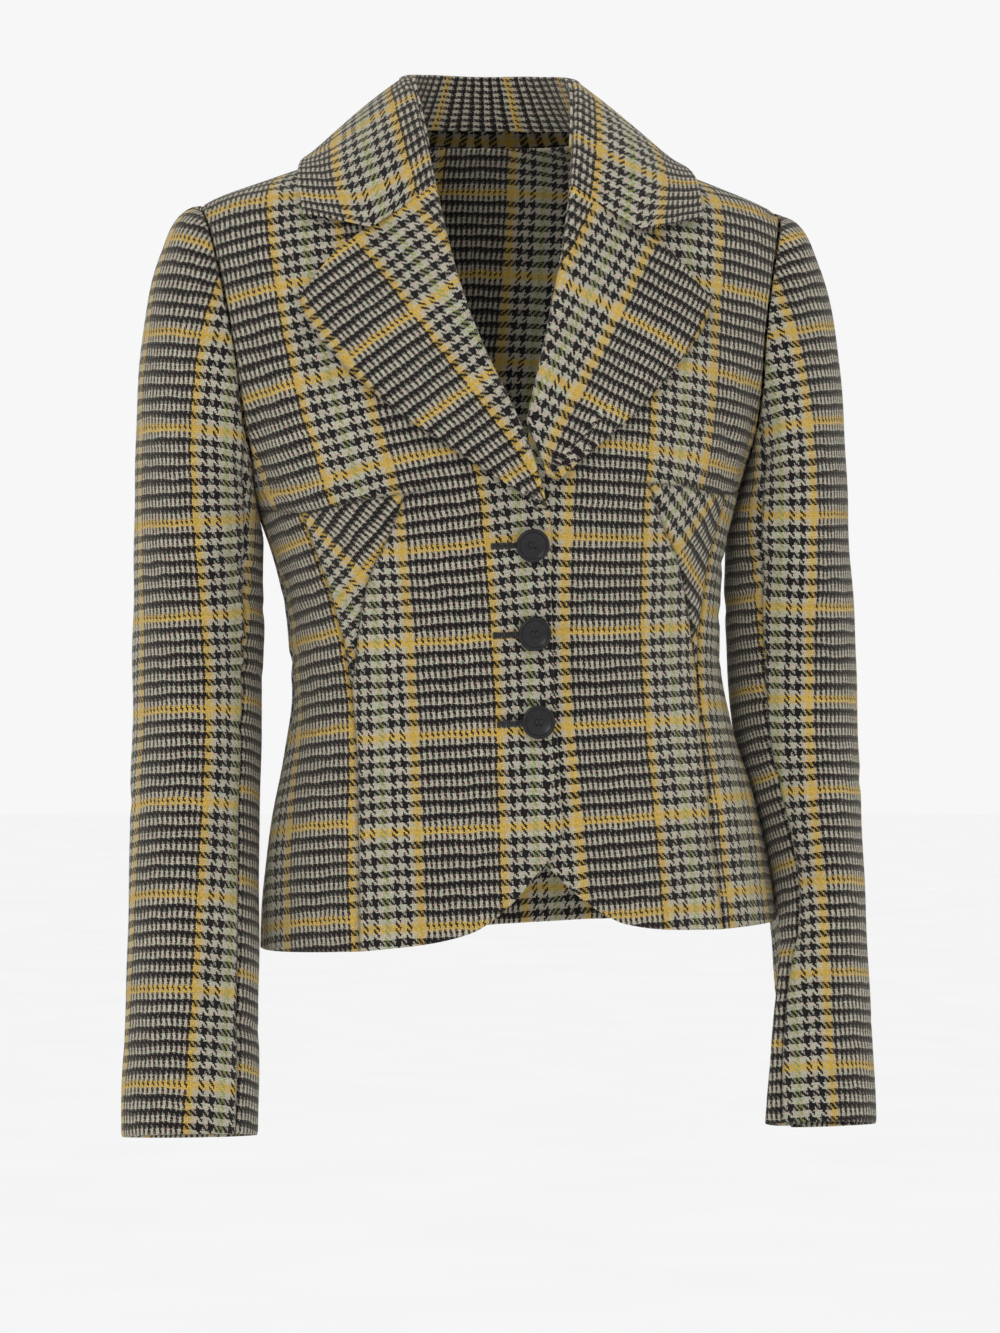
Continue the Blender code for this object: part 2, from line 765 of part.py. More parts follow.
def make_button(name, z):
    """A turned disc with a raised rim, a dished face and four thread holes."""
    centre, across, up, way = front_frame(z)
    r, h = BUTTON_RADIUS, BUTTON_HEIGHT
    profile = (
        (0.0, 0.0),
        (0.55 * r, 0.0),
        (0.90 * r, 0.22 * h),
        (r, 0.60 * h),
        (0.97 * r, 0.92 * h),
        (0.88 * r, h),
        (0.78 * r, 0.93 * h),
        (0.70 * r, 0.70 * h),
        (0.45 * r, 0.62 * h),
        (0.0, 0.62 * h),
    )
    steps = 20
    vertices, faces, starts = [], [], []
    for ring_radius, height in profile:
        starts.append(len(vertices))
        for k in range(steps if ring_radius > 0 else 1):
            turn = 2 * math.pi * k / steps
            flat = ring_radius * (math.cos(turn) * across + math.sin(turn) * up)
            vertices.append(centre + flat + (BUTTON_STANDOFF + height) * way)
    for a, b in zip(range(len(profile) - 1), range(1, len(profile))):
        for k in range(steps):
            n = (k + 1) % steps
            first = [starts[a] + k, starts[a] + n] if profile[a][0] > 0 else [starts[a]]
            second = [starts[b] + n, starts[b] + k] if profile[b][0] > 0 else [starts[b]]
            faces.append(first + second)
    faces = turned_out(vertices, faces)
    disc = finish(name, vertices, faces, BLACK_HORN, 0.35)
    for k in range(4):
        turn = math.pi / 4 + k * math.pi / 2
        spot = centre + 0.0019 * (math.cos(turn) * across + math.sin(turn) * up)
        drill(disc, spot, across, up, way)


def drill(disc, spot, across, up, way):
    """Cuts one thread hole through a button."""
    steps, hole_radius = 8, 0.0008
    vertices = []
    for height in (-0.001, 0.009):
        for k in range(steps):
            turn = 2 * math.pi * k / steps
            flat = hole_radius * (math.cos(turn) * across + math.sin(turn) * up)
            vertices.append(spot + flat + (BUTTON_STANDOFF + height) * way)
    faces = [list(range(steps)), list(range(steps, 2 * steps))[::-1]]
    faces += [[k, k + steps, (k + 1) % steps + steps, (k + 1) % steps] for k in range(steps)]
    cutter = finish(disc.name + "_cutter", vertices, turned_out(vertices, faces), BLACK_HORN, 0.35)
    modifier = disc.modifiers.new("hole", "BOOLEAN")
    modifier.operation = "DIFFERENCE"
    modifier.object = cutter
    cutter.hide_render = True
    cutter.display_type = "WIRE"


def make_buttonhole(name, z):
    """The worked edge of a buttonhole, a low bar on the overlapping front."""
    steps = 10
    outer, inner = [], []
    start = 0.0020
    for k in range(steps + 1):
        across = start - BUTTONHOLE_LENGTH * k / steps
        taper = 0.5 + 0.5 * min(1.0, 3 * math.sin(math.pi * k / steps))
        row_out, row_in = [], []
        for side in (-1, 0, 1):
            point = on_chest(across, z + side * taper * BUTTONHOLE_WIDTH / 2)
            way = outward(point)
            height = LIE + BUTTONHOLE_HEIGHT * (1.0 if side == 0 else 0.7)
            row_out.append(posture(point + height * way))
            row_in.append(posture(point + LIE * way))
        outer.append(row_out)
        inner.append(row_in)
    panel(name, outer, inner, BLACK_THREAD)


def main():
    for leftover in list(bpy.data.objects):
        bpy.data.objects.remove(leftover, do_unlink=True)
    for side, word in ((-1, "right"), (1, "left")):
        make_front("front_" + word, side)
        make_gore("gore_" + word, side)
        make_side_front("side_front_" + word, side)
        make_side_back("side_back_" + word, side)
        make_back("back_" + word, side)
        make_lapel("lapel_" + word, side)
        make_sleeve(side, word)
    make_collar()
    make_collar_stand()
    for number, z in enumerate(BUTTON_Z, start=1):
        make_button(f"button_{number}", z)
        make_buttonhole(f"buttonhole_{number}", z)


main()
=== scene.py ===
"""The looks of the worn tweed jacket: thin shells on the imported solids' form, with a woven glen check.

Metres, in the frame's own coordinates; tables in mm() are in millimetres. The torso's shape comes from the
same sections as the solids': an angle (0 at centre front, 90 degrees at the side, 180 at centre back) and a
height. Side is -1 for the wearer's right and 1 for the left. Every panel carries its flat cut in its UV
map, in metres, and the weave is drawn on that cut thread by thread.
"""

import math

import bpy
import numpy as np
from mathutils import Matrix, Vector, kdtree


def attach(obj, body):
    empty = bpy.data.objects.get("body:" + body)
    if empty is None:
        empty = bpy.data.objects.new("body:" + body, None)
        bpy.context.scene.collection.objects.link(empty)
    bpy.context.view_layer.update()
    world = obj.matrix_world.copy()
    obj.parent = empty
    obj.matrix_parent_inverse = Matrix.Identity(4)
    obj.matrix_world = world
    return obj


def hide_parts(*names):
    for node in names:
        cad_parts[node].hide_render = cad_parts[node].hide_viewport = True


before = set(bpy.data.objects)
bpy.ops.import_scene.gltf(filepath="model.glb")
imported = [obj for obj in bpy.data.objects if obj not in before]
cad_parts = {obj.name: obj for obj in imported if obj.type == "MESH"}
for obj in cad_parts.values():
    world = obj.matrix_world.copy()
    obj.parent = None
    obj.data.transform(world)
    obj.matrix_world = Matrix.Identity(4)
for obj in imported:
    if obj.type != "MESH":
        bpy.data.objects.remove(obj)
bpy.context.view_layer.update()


def mm(*rows):
    """Rows of millimetres as rows of metres."""
    return [tuple(row) for row in np.array(rows) / 1000]


def folds(*rows):
    """Rows of degrees around, height, degrees turned from upright, length, width and depth, in metres."""
    return [(row[0], row[1] / 1000, row[2], *(size / 1000 for size in row[3:])) for row in rows]


# ---- sizes shared with the solids ----
CLOTH, LAPEL_CLOTH = 0.0022, 0.0030
COLLAR_STANDOFF = 0.0036
SQUARE_FRONT, SQUARE_BACK = 2.35, 2.25
HEM = -0.543
SHOULDER_Z, NECK_Z, UNDERARM_Z = -0.055, -0.006, -0.240
ROLL_TOP_Z, ROLL_END_Z = -0.046, -0.262
OVERLAP = 0.013
GORE_TIP_Z, GORE_FLOOR = -0.370, -0.3685
GORE_CORNER_Z, GORE_CORNER_ACROSS = -0.2475, 0.0810  # the gore's upper inner corner
GORE_OUTER_Z = -0.256
BACK_SEAM_TOP_Z = -0.150
SHOULDER_SPLIT = math.radians(52)  # where the column above the gore's corner reaches the shoulder
BUTTON_Z = (-0.284, -0.342, -0.400)
BUTTON_RADIUS, BUTTON_HEIGHT, BUTTON_STANDOFF = 0.011, 0.0044, 0.0022
BUTTONHOLE_LENGTH, BUTTONHOLE_WIDTH = 0.028, 0.0036

# ---- sizes of the looks ----
STEP = 0.0034  # usual spacing of a panel's grid
EDGE_STEPS = (0.0005, 0.0006, 0.0008, 0.0010, 0.0013, 0.0018, 0.0025)  # closer rows beside a seam or edge
SEAM_DEPTH, SEAM_WIDTH = 0.0009, 0.0021
ROLL_RADIUS = 0.0046  # how roundly lapel and collar turn over
FACE_CLOTH = 0.0018  # one face of the doubled lapel and collar

TORSO = mm(
    # height, half width, front, back
    (20, 52, 45, 52), (5, 60, 50, 58), (-6, 68, 53, 64), (-27, 122, 60, 78), (-40, 158, 66, 84),
    (-55, 196, 72, 90), (-75, 206, 80, 96), (-110, 206, 90, 102), (-150, 200, 101, 106),
    (-200, 184, 113, 106), (-245, 165, 117, 102), (-285, 153, 112, 94), (-330, 146, 105, 86),
    (-370, 145, 103, 83), (-410, 151, 104, 88), (-450, 161, 107, 97), (-500, 170, 111, 106),
    (-560, 176, 115, 113),
)
# Seams on one half of the front, as height and distance from centre front.
ROLL_LINE = mm((-262, -12), (-211, 0), (-152, 20), (-100, 34), (-46, 44))
GORE_FRONT_SEAM = mm((-370, 116.5), (-320, 109), (-297, 103), (-275, 92), (-247, 81))
GORE_SIDE_SEAM = mm((-370, 117.5), (-348, 119.5), (-310, 127), (-286, 134), (-256, 143.5))
PRINCESS_SEAM = mm((-560, 123.5), (-467, 118.5), (-407, 116), (-370, 117))
ARMHOLE = mm((-240, 167), (-225, 169), (-190, 174.5), (-150, 178), (-110, 184), (-80, 190), (-55, 196))
# Height in metres, degrees from centre front.
BACK_PRINCESS_ANGLE = ((-0.56, 142), (-0.45, 143), (-0.37, 146), (-0.25, 138), (-0.18, 120), (-0.15, 108.5))
# Distance from centre front, height.
UNDER_BUST_SEAM = mm((-13, -245), (84, -247.5), (113, -251), (143, -256), (166, -251))
FRONT_HEM = mm(
    (-13, -470), (-6, -487), (4, -496), (20, -513), (36, -526), (52, -534.5), (80, -540), (120, -543)
)
LAPEL_TOP = mm((44, -46), (88, -76), (112, -95), (135, -122))
LAPEL_EDGE = mm((135, -122), (132, -134), (107, -169), (75, -200), (45, -223), (18, -243))
LAPEL_POINT = (-0.0095, -0.2600)  # the right lapel runs on to here, over the left one
SLEEVES = {
    # height, centre x, centre y, half width, half depth
    -1: mm(
        (-270, 196, 4, 43, 62), (-340, 196, 6, 44, 57), (-420, 198, -4, 43, 52), (-500, 201, -26, 43, 47),
        (-580, 203.5, -48, 43.5, 43), (-640, 206, -63, 45, 40.5), (-670, 207, -71, 45, 39.5),
    ),
    1: mm(
        (-270, 204, 4, 41, 62), (-340, 208, 8, 44, 57), (-420, 212, 8, 42, 55), (-480, 220.5, 2, 34.5, 56),
        (-530, 224, -8, 31, 54), (-590, 216, -26, 39, 47), (-640, 213, -41, 42.5, 42),
        (-670, 212, -50, 43, 39.5),
    ),
}
CAP_REACH = 0.140
CAP_END_Z, CUFF_Z = -0.270, -0.670
FRONT_SLEEVE_SEAM, BACK_SLEEVE_SEAM = np.radians((-40, -160))  # around the tube, 0 in front, 90 outside
COLLAR = mm(
    # fold, middle and edge, from the gorge to centre back
    ((44, -68, -46), (88, -84, -76), (133, -72, -67)), ((50, -48, -6), (97, -58, -30), (132, -40, -43)),
    ((55, -10, 34), (92, -6, 6), (122, 2, -21)), ((44, 34, 40), (76, 48, 12), (100, 60, -22)),
    ((24, 53, 42), (42, 75, 12), (56, 88, -28)), ((0, 58, 42), (0, 81, 12), (0, 94, -30)),
)
NECK_SEAM = mm((56, -47.5, -19), (67, -18, -3), (62, 22, 1), (34, 53, 4), (0, 61, 5))

# ---- the cloth: a glen check in 2/2 twill ----
WARP_PITCH, WEFT_PITCH = 0.00092, 0.00112
CHECK_THREADS = 48  # warp threads of one broad check, from a yellow group to the next
WARP_REPEAT = 108  # the check and the fine stripes beside it
WEFT_REPEAT = 56
YELLOW_WEFT = 48  # the first of the four yellow weft threads
GROUP = 4  # threads of one colour, side by side
LINE_A, LINE_B = 2 * WARP_PITCH, (CHECK_THREADS + 2) * WARP_PITCH  # middles of the two yellow lines
LINE_WEFT = (YELLOW_WEFT + 2) * WEFT_PITCH

# Folds placed one by one: a trough, or with a negative depth a ridge.
BODY_FOLDS = folds(
    (-83, -300, 62, 26, 6, 2.2), (-79, -325, 74, 21, 5, 1.6), (-88, -352, 82, 30, 7, 2),
    (-68, -345, 80, 18, 5, 1), (-60, -222, 30, 22, 7.5, 1.6), (-70, -200, 18, 30, 9, 2.2),
    (-63, -500, 8, 40, 13, 2.2), (-30, -490, -6, 34, 12, -1.2), (-84, -480, -5, 45, 15, -2.4),
    (-22, -262, 82, 16, 4.5, 1), (84, -305, -68, 24, 6, 2), (88, -338, -80, 32, 6.5, 2.2),
    (76, -362, -76, 18, 5, 1.2), (62, -216, -26, 26, 8, 1.8), (71, -196, -14, 30, 9, 2.2),
    (56, -495, -6, 42, 13, 2), (86, -488, 6, 42, 15, -2.2), (26, -500, 8, 30, 11, -1),
    (118, -180, -14, 36, 10, 2.4), (-120, -172, 12, 40, 10, 2.6), (130, -322, -74, 34, 7, 1.8),
    (-133, -335, 76, 30, 7.5, 2), (158, -352, 84, 26, 6, 1.3), (-166, -336, -82, 28, 7, 1.5),
    (150, -505, 4, 42, 15, -2.2), (-152, -500, -5, 44, 15, -2), (176, -110, 80, 34, 11, 1.2),
)
SLEEVE_FOLDS = {
    -1: folds(
        (-30, -292, 58, 28, 6.5, 3), (-48, -318, 68, 26, 6, 2.4), (-22, -345, 72, 30, 6.5, 3),
        (-52, -371, 80, 22, 6, 2.2), (-34, -402, 78, 26, 7, 2), (24, -330, 66, 24, 8, 1.4),
        (-40, -235, 40, 24, 7, 2.4), (-140, -262, -46, 30, 8, 3), (-120, -305, -66, 26, 7, 2.2),
        (164, -340, -70, 28, 8, 2.2), (150, -420, -76, 30, 9, 1.6), (80, -455, 84, 26, 8, 1),
        (10, -560, 80, 28, 9, 1.2), (-60, -600, 74, 24, 8, 1.4), (60, -618, 86, 24, 8, 0.8),
    ),
    1: folds(
        (-28, -286, 60, 26, 6.5, 2.8), (-50, -310, 66, 28, 6, 2.6), (-20, -352, 74, 28, 7, 3),
        (-44, -384, 82, 24, 6, 2.2), (-28, -436, 76, 28, 7.5, 2.2), (30, -322, 70, 22, 8, 1.2),
        (-42, -230, 42, 24, 7, 2.2), (-142, -256, -44, 28, 8, 2.8), (-124, -312, -62, 28, 7, 2.2),
        (160, -352, -68, 30, 8, 2.2), (146, -412, -78, 28, 9, 1.8), (84, -440, 82, 26, 8, 1),
        (6, -520, 78, 30, 8, 1.6), (-56, -548, 70, 26, 8, 1.8), (40, -610, 84, 26, 8, 1),
    ),
}


# ---- curves ----
def slopes(xs, ys):
    """Slopes that keep a cubic through the points from overshooting them."""
    rise = np.diff(ys) / np.diff(xs)
    slope = np.concatenate([rise[:1], np.zeros(len(xs) - 2), rise[-1:]])
    for i in range(1, len(xs) - 1):
        if rise[i - 1] * rise[i] > 0:
            slope[i] = 2 * rise[i - 1] * rise[i] / (rise[i - 1] + rise[i])
    return slope


def curve(table, column=1):
    """A smooth function through one column of a table, whose first column is the variable."""
    rows = sorted(table)
    xs, ys = (np.array([row[c] for row in rows]) for c in (0, column))
    slope = slopes(xs, ys)

    def value(x):
        x = np.asarray(x, float)
        k = np.clip(np.searchsorted(xs, x) - 1, 0, len(xs) - 2)
        step = xs[k + 1] - xs[k]
        t = np.clip((x - xs[k]) / step, 0.0, 1.0)
        start = (1 + 2 * t) * (1 - t) ** 2 * ys[k] + t * (1 - t) ** 2 * step * slope[k]
        end = t * t * (3 - 2 * t) * ys[k + 1] + t * t * (t - 1) * step * slope[k + 1]
        return start + end

    return value


def softened(table, column, reach):
    """The same function with its changes of bend spread over a reach."""
    low, high = min(row[0] for row in table), max(row[0] for row in table)
    xs = np.linspace(low, high, 400)
    step = xs[1] - xs[0]
    span = int(3 * reach / step)
    weights = np.exp(-0.5 * (np.arange(-span, span + 1) * step / reach) ** 2)
    ys = curve(table, column)(xs)
    before = ys[0] + (ys[1] - ys[0]) * np.arange(-span, 0)
    after = ys[-1] + (ys[-1] - ys[-2]) * np.arange(1, span + 1)
    smooth = np.convolve(np.concatenate([before, ys, after]), weights / weights.sum(), mode="valid")
    return lambda x: np.interp(x, xs, smooth)


def size_of(vectors):
    return np.linalg.norm(vectors, axis=-1)


def running(steps):
    """The distance from the start at each end of the steps."""
    return np.concatenate([[0.0], np.cumsum(steps)])


def along(points, share):
    """Points at shares of a chain's length, smoothed between its points."""
    chain = np.array(points, float)
    reach = running(size_of(np.diff(chain, axis=0)))
    table = [(r, *p) for r, p in zip(reach / reach[-1], chain)]
    return np.stack([curve(table, c + 1)(share) for c in range(chain.shape[1])], axis=-1)


def ease(t):
    t = np.clip(t, 0.0, 1.0)
    return t * t * (3 - 2 * t)


def unit(vectors):
    return vectors / np.maximum(size_of(vectors)[..., None], 1e-12)


def spread(length, low=True, high=True):
    """Shares from 0 to 1, about a step apart, and closer at the ends that ask for it."""
    fine = np.cumsum(EDGE_STEPS)
    start = fine if low else np.array([])
    end = length - fine[::-1] if high else np.array([])
    first = start[-1] if low else 0.0
    last = end[0] if high else length
    count = max(2, round((last - first) / STEP))
    middle = np.linspace(first, last, count + 1)
    parts = [np.array([0.0]), start[:-1], middle if low else middle[1:]]
    parts += [end[1:], np.array([length])] if high else []
    return np.concatenate(parts) / length


# ---- the torso surface ----
half_width = softened(TORSO, 1, 0.006)
front_depth = softened(TORSO, 2, 0.010)
back_depth = softened(TORSO, 3, 0.010)


def radius(angle, z):
    c = np.cos(angle)
    front = c > 0
    depth = np.where(front, front_depth(z), back_depth(z))
    power = np.where(front, SQUARE_FRONT, SQUARE_BACK)
    level = (np.abs(np.sin(angle)) / half_width(z)) ** power + (np.abs(c) / depth) ** power
    return level ** (-1 / power)


def torso(angle, z):
    angle, z = np.broadcast_arrays(np.asarray(angle, float), np.asarray(z, float))
    r = radius(angle, z)
    return np.stack([r * np.sin(angle), -r * np.cos(angle), z], axis=-1)


def level_of(points):
    flat = np.hypot(points[..., 0], points[..., 1])
    return flat - radius(np.arctan2(points[..., 0], -points[..., 1]), points[..., 2])


def gap_to_torso(points):
    """How far points lie outside the torso surface, and the way out."""
    step = 1e-3
    slope = [level_of(points + step * axis) - level_of(points - step * axis) for axis in np.eye(3)]
    slope = np.stack(slope, axis=-1) / (2 * step)
    size = size_of(slope)
    return level_of(points) / size, slope / size[..., None]


def outward(points):
    return gap_to_torso(points)[1]


def lifted(points, gap):
    """The points, moved out of the torso surface until each is at least gap away."""
    for _ in range(6):
        distance, way = gap_to_torso(points)
        points = points + np.maximum(gap - distance, 0.0)[..., None] * way
    return points


def half_section(across, z, depth, power):
    """How far in front or behind the torso surface is, at a distance from its middle."""
    share = np.minimum(np.abs(across) / half_width(z), 1.0)
    return depth(z) * (1 - share**power) ** (1 / power)


def angle_at(across, z):
    """The angle at which a front seam lies, from its distance from centre front."""
    return np.arctan2(across, half_section(across, z, front_depth, SQUARE_FRONT))


def on_chest(across, z):
    return torso(angle_at(across, z), z)


def posture(points):
    """The wearer's stance: below the chest the jacket turns, rolls and drifts a little to the left."""
    x, y, z = points[..., 0], points[..., 1], points[..., 2]
    share = ease((-0.08 - z) / 0.18)
    turn = math.radians(3.0) * share
    x, y = x * np.cos(turn) - y * np.sin(turn), x * np.sin(turn) + y * np.cos(turn)
    return np.stack([x + 0.047 * share * np.maximum(0.0, -0.13 - z), y, z + 0.05 * share * x], axis=-1)


def without_posture(points):
    plain = np.array(points, float)
    for _ in range(12):
        plain = plain + points - posture(plain)
    return plain


def posed(points, way):
    """Points and outward directions in the wearer's stance."""
    placed = posture(points)
    return placed, unit(posture(points + 0.001 * way) - placed)


# ---- seams ----
under_bust, front_hem = curve(UNDER_BUST_SEAM), curve(FRONT_HEM)
roll_across, armhole_across = curve(ROLL_LINE), curve(ARMHOLE)
gore_front, gore_side = curve(GORE_FRONT_SEAM), curve(GORE_SIDE_SEAM)
princess, back_princess = curve(PRINCESS_SEAM), curve(BACK_PRINCESS_ANGLE)


def front_seam(z):
    """The seam that ends the centre front below the bust: the gore's, then the princess seam."""
    return angle_at(np.where(z > GORE_TIP_Z, gore_front(z), princess(z)), z)


def side_front_seam(z):
    return angle_at(np.where(z > GORE_TIP_Z, gore_side(z), princess(z)), z)


def roll_radius(z):
    """The roll is full at the chest and flattens towards the top button."""
    return ROLL_RADIUS * (0.45 + 0.55 * ease((z - ROLL_END_Z) / 0.06))


def front_edge(z):
    rolled = angle_at(roll_across(z) + roll_radius(z) - 0.0008, z)
    return np.where(z > ROLL_END_Z, rolled, angle_at(-OVERLAP, z))


def side_line(z):
    return np.full_like(z, math.pi / 2)


def armhole_front(z):
    return np.where(z < SHOULDER_Z, angle_at(armhole_across(z), z), math.pi / 2)


def armhole_back(z):
    """The back's half of the armhole, as wide as the front's."""
    across = armhole_across(z)
    return np.arctan2(across, -half_section(across, z, back_depth, SQUARE_BACK))


def back_seam(z):
    return np.radians(back_princess(z))


def centre_back(z):
    return np.full_like(z, math.pi)


def back_side(z):
    """The back's outer boundary: princess seam, armhole, then shoulder seam."""
    upper = np.where(z < SHOULDER_Z, armhole_back(z), math.pi / 2)
    return np.where(z <= BACK_SEAM_TOP_Z, back_seam(z), upper)


def side_back_start(z):
    return np.where(z <= UNDERARM_Z, math.pi / 2, armhole_back(z))


def hem_at(angle):
    across = torso(np.minimum(angle, math.pi / 2), HEM)[..., 0]
    return np.where(angle > math.pi / 2, HEM, front_hem(across))


def under_bust_at(angle):
    return under_bust(torso(angle, -0.25)[..., 0])


def wrapped(z):
    """Where the front of the wearer's left passes behind that of the right, 0 to 1."""
    return ease((-0.185 - z) / 0.025)


def seam_lines(side):
    """Chains of points along every seam of one side of the body, with each seam's depth."""
    found = []
    for seam, low, high, depth in (
        (front_seam, GORE_TIP_Z, GORE_CORNER_Z, 1.0),
        (side_front_seam, GORE_TIP_Z, GORE_OUTER_Z, 1.0),
        (lambda z: angle_at(princess(z), z), HEM - 0.01, GORE_TIP_Z, 1.0),
        (side_line, HEM, UNDERARM_Z, 0.8),
        (back_seam, HEM, BACK_SEAM_TOP_Z, 1.0),
        (centre_back, HEM, NECK_Z, 0.8),
        (armhole_front, UNDERARM_Z, SHOULDER_Z, 0.5),
        (armhole_back, UNDERARM_Z, SHOULDER_Z, 0.5),
        (side_line, SHOULDER_Z, NECK_Z, 0.7),
    ):
        z = np.linspace(low, high, 240)
        found.append((torso(side * seam(z), z), np.full(len(z), depth)))
    # The seam under the bust starts as a short tuck in the front, beside the gore's corner.
    corner, tuck = GORE_CORNER_ACROSS, 0.034
    across = np.linspace(corner - tuck, UNDER_BUST_SEAM[-1][0], 240)
    bust_z = np.interp(across, (corner - tuck, corner), (under_bust(corner) + 0.006, under_bust(corner)))
    bust_z = np.where(across < corner, bust_z, under_bust(across))
    found.append((on_chest(side * across, bust_z), ease((across - corner + 0.036) / 0.030)))
    return found


def seam_tree():
    points, depths = (np.concatenate(part) for part in zip(*seam_lines(-1), *seam_lines(1)))
    tree = kdtree.KDTree(len(points))
    for index, point in enumerate(points):
        tree.insert(point, index)
    tree.balance()
    return tree, depths


SEAM_TREE, SEAM_DEPTHS = seam_tree()


def near_seams(points):
    """How strongly each point lies in a seam, 0 to about 1: it sets the groove's depth and the painted
    shade in it.
    """
    flat = points.reshape(-1, 3)
    strength = np.zeros(len(flat))
    for row, point in enumerate(flat):
        _, index, distance = SEAM_TREE.find(point)
        if distance < 4 * SEAM_WIDTH:
            strength[row] = SEAM_DEPTHS[index] * math.exp(-((distance / SEAM_WIDTH) ** 2))
    return strength.reshape(points.shape[:-1])


def fold_relief(rows, degrees_around, z, girth):
    """Depth of listed folds: a soft trough with a low welt on each side, or the reverse."""
    depth = np.zeros(np.broadcast(degrees_around, z).shape)
    for degrees, height, turned, length, width, deep in rows:
        u = np.radians((degrees_around - degrees + 180) % 360 - 180) * girth
        v = z - height
        c, s = math.cos(math.radians(turned)), math.sin(math.radians(turned))
        run, off = v * c + u * s, u * c - v * s
        q = ((off + 0.12 * run * run / length) / width) ** 2
        depth += deep * (1 - 0.9 * q) * np.exp(-q) * np.exp(-((run / length) ** 2))
    return depth


def unevenness(points, size):
    """The slow unevenness of worn cloth."""
    x, y, z = points[..., 0], points[..., 1], points[..., 2]
    wave = np.sin(61 * x + 23 * z + 1.3) * np.sin(47 * z - 31 * y + 0.4)
    wave = wave + 0.6 * np.sin(97 * z + 53 * x - 40 * y + 2.1) + 0.4 * np.sin(141 * y - 88 * z + 37 * x)
    return size * wave / 2


def body_surface(angle, z, side):
    """The torso cloth at signed angles and heights: the bare form, outer points, normals, seam strength."""
    plain = torso(side * angle, z)
    way = outward(plain)
    seams = near_seams(plain)
    sunk = SEAM_DEPTH * seams
    sunk = sunk + fold_relief(BODY_FOLDS, np.degrees(side * angle), z, 0.15)
    sunk = sunk + unevenness(plain, 0.0006)
    if side > 0:
        tuck = (CLOTH + 0.0006) * wrapped(z) * ease((0.027 - plain[..., 0]) / 0.011)
        sunk = sunk + np.where(angle < math.pi / 2, tuck, 0.0)
    return (plain, *posed(plain - sunk[..., None] * way, way), seams)


# ---- cutting flat ----
NET_PULL = 0.14  # each thread's pull per round, small enough that long thin cells don't ring
NET_CELL = 0.012
NET_ROUNDS = 1500


def rings(cells):
    """Steps from the panel's boundary for each grid point: 0 on it, 1 beside it, and so on up to 3.

    Also which points are a corner of any cell.
    """
    rows, columns = cells.shape[0] + 1, cells.shape[1] + 1
    around = np.zeros((rows, columns), int)
    for di in (0, 1):
        for dj in (0, 1):
            around[di : rows - 1 + di, dj : columns - 1 + dj] += cells
    ring = np.where(around == 4, 3, 0)
    for level in (1, 2):
        edge = np.zeros((rows + 2, columns + 2), bool)
        edge[1:-1, 1:-1] = (ring == level - 1) & (around > 0)
        beside = np.zeros((rows, columns), bool)
        for di in (0, 1, 2):
            for dj in (0, 1, 2):
                beside |= edge[di : rows + di, dj : columns + dj]
        ring = np.where(beside & (ring == 3), level, ring)
    return ring, around > 0


def all_cells(points):
    return np.ones((points.shape[0] - 1, points.shape[1] - 1), bool)


def settle(cut, points, cells):
    """The panel flattened: a net with the cloth's own lengths, let go until its threads are true."""
    rows, columns = points.shape[:2]
    used = rings(cells)[1]
    nets = []
    for di, dj in ((0, 1), (1, 0), (1, 1), (1, -1)):
        a = (slice(0, rows - di), slice(0, columns - 1) if dj else slice(None))
        b = (slice(di, rows), slice(1, columns) if dj else slice(None))
        if dj < 0:
            a, b = (a[0], slice(1, columns)), (b[0], slice(0, columns - 1))
        nets.append((a, b, size_of(points[b] - points[a]), (used[a] & used[b]) * NET_PULL))
    for _ in range(NET_ROUNDS):
        move = np.zeros_like(cut)
        for a, b, length, weight in nets:
            step = cut[b] - cut[a]
            size = np.maximum(size_of(step), 1e-9)
            pull = (weight * (size - length) / size)[..., None] * step
            move[a] += pull
            move[b] -= pull
        cut = cut + move
    return cut


def measured(steps, live, axis):
    """How far along the cloth each row or column of a grid lies, where its steps are longest."""
    both = live[1:] & live[:-1] if axis == 0 else live[:, 1:] & live[:, :-1]
    return running((steps * both).max(axis=1 - axis))


def coarse(places, also):
    """Indices of rows evenly spaced along the cloth, with both ends and the joint."""
    wanted = np.linspace(0, places[-1], max(6, round(places[-1] / NET_CELL)))
    found = np.clip(np.searchsorted(places, wanted - 1e-9), 0, len(places) - 1)
    if also:
        inside = found[1:-1]
        inside[np.argmin(np.abs(places[inside] - places[also]))] = also
    return np.unique(found)


def flatten(points, reference, cells=None, joint=(0, 0), level=None):
    """The flat cut of a grid of points: (u, v) in metres for each point.

    The net starts pulled out rather than pushed together, or it would buckle: every row at its full
    width from the reference column, every column at its full length from the row that is level.
    """
    cells = all_cells(points) if cells is None else cells
    live = rings(cells)[1]
    over, up = (size_of(np.diff(points, axis=axis)) for axis in (1, 0))
    i, j = coarse(measured(up, live, 0), joint[0]), coarse(measured(over, live, 1), joint[1])
    u = np.concatenate([np.zeros((len(points), 1)), np.cumsum(over + 1e-8, axis=1)], axis=1)
    v = np.concatenate([np.zeros((1, points.shape[1])), np.cumsum(up + 1e-8, axis=0)], axis=0)
    some = np.ix_(i, j)
    column = j[int(np.argmin(np.abs(j - reference)))]
    row = joint[0] if level is None else level
    guess = np.stack([u[some] - u[i, column][:, None], v[some] - v[row, j] + v[row, column]], axis=-1)
    cut = settle(guess, points[some], cells[np.ix_(i[:-1], j[:-1])])
    wide = np.array([[np.interp(u[k], u[k, j], found[:, c]) for c in (0, 1)] for k, found in zip(i, cut)])
    full = [[np.interp(v[:, k], v[i, k], wide[:, c, k]) for c in (0, 1)] for k in range(points.shape[1])]
    return np.array(full).transpose(2, 0, 1)


def nearest_cut(points, cut, place):
    gap = size_of(points - place)
    return cut[np.unravel_index(np.argmin(gap), gap.shape)]


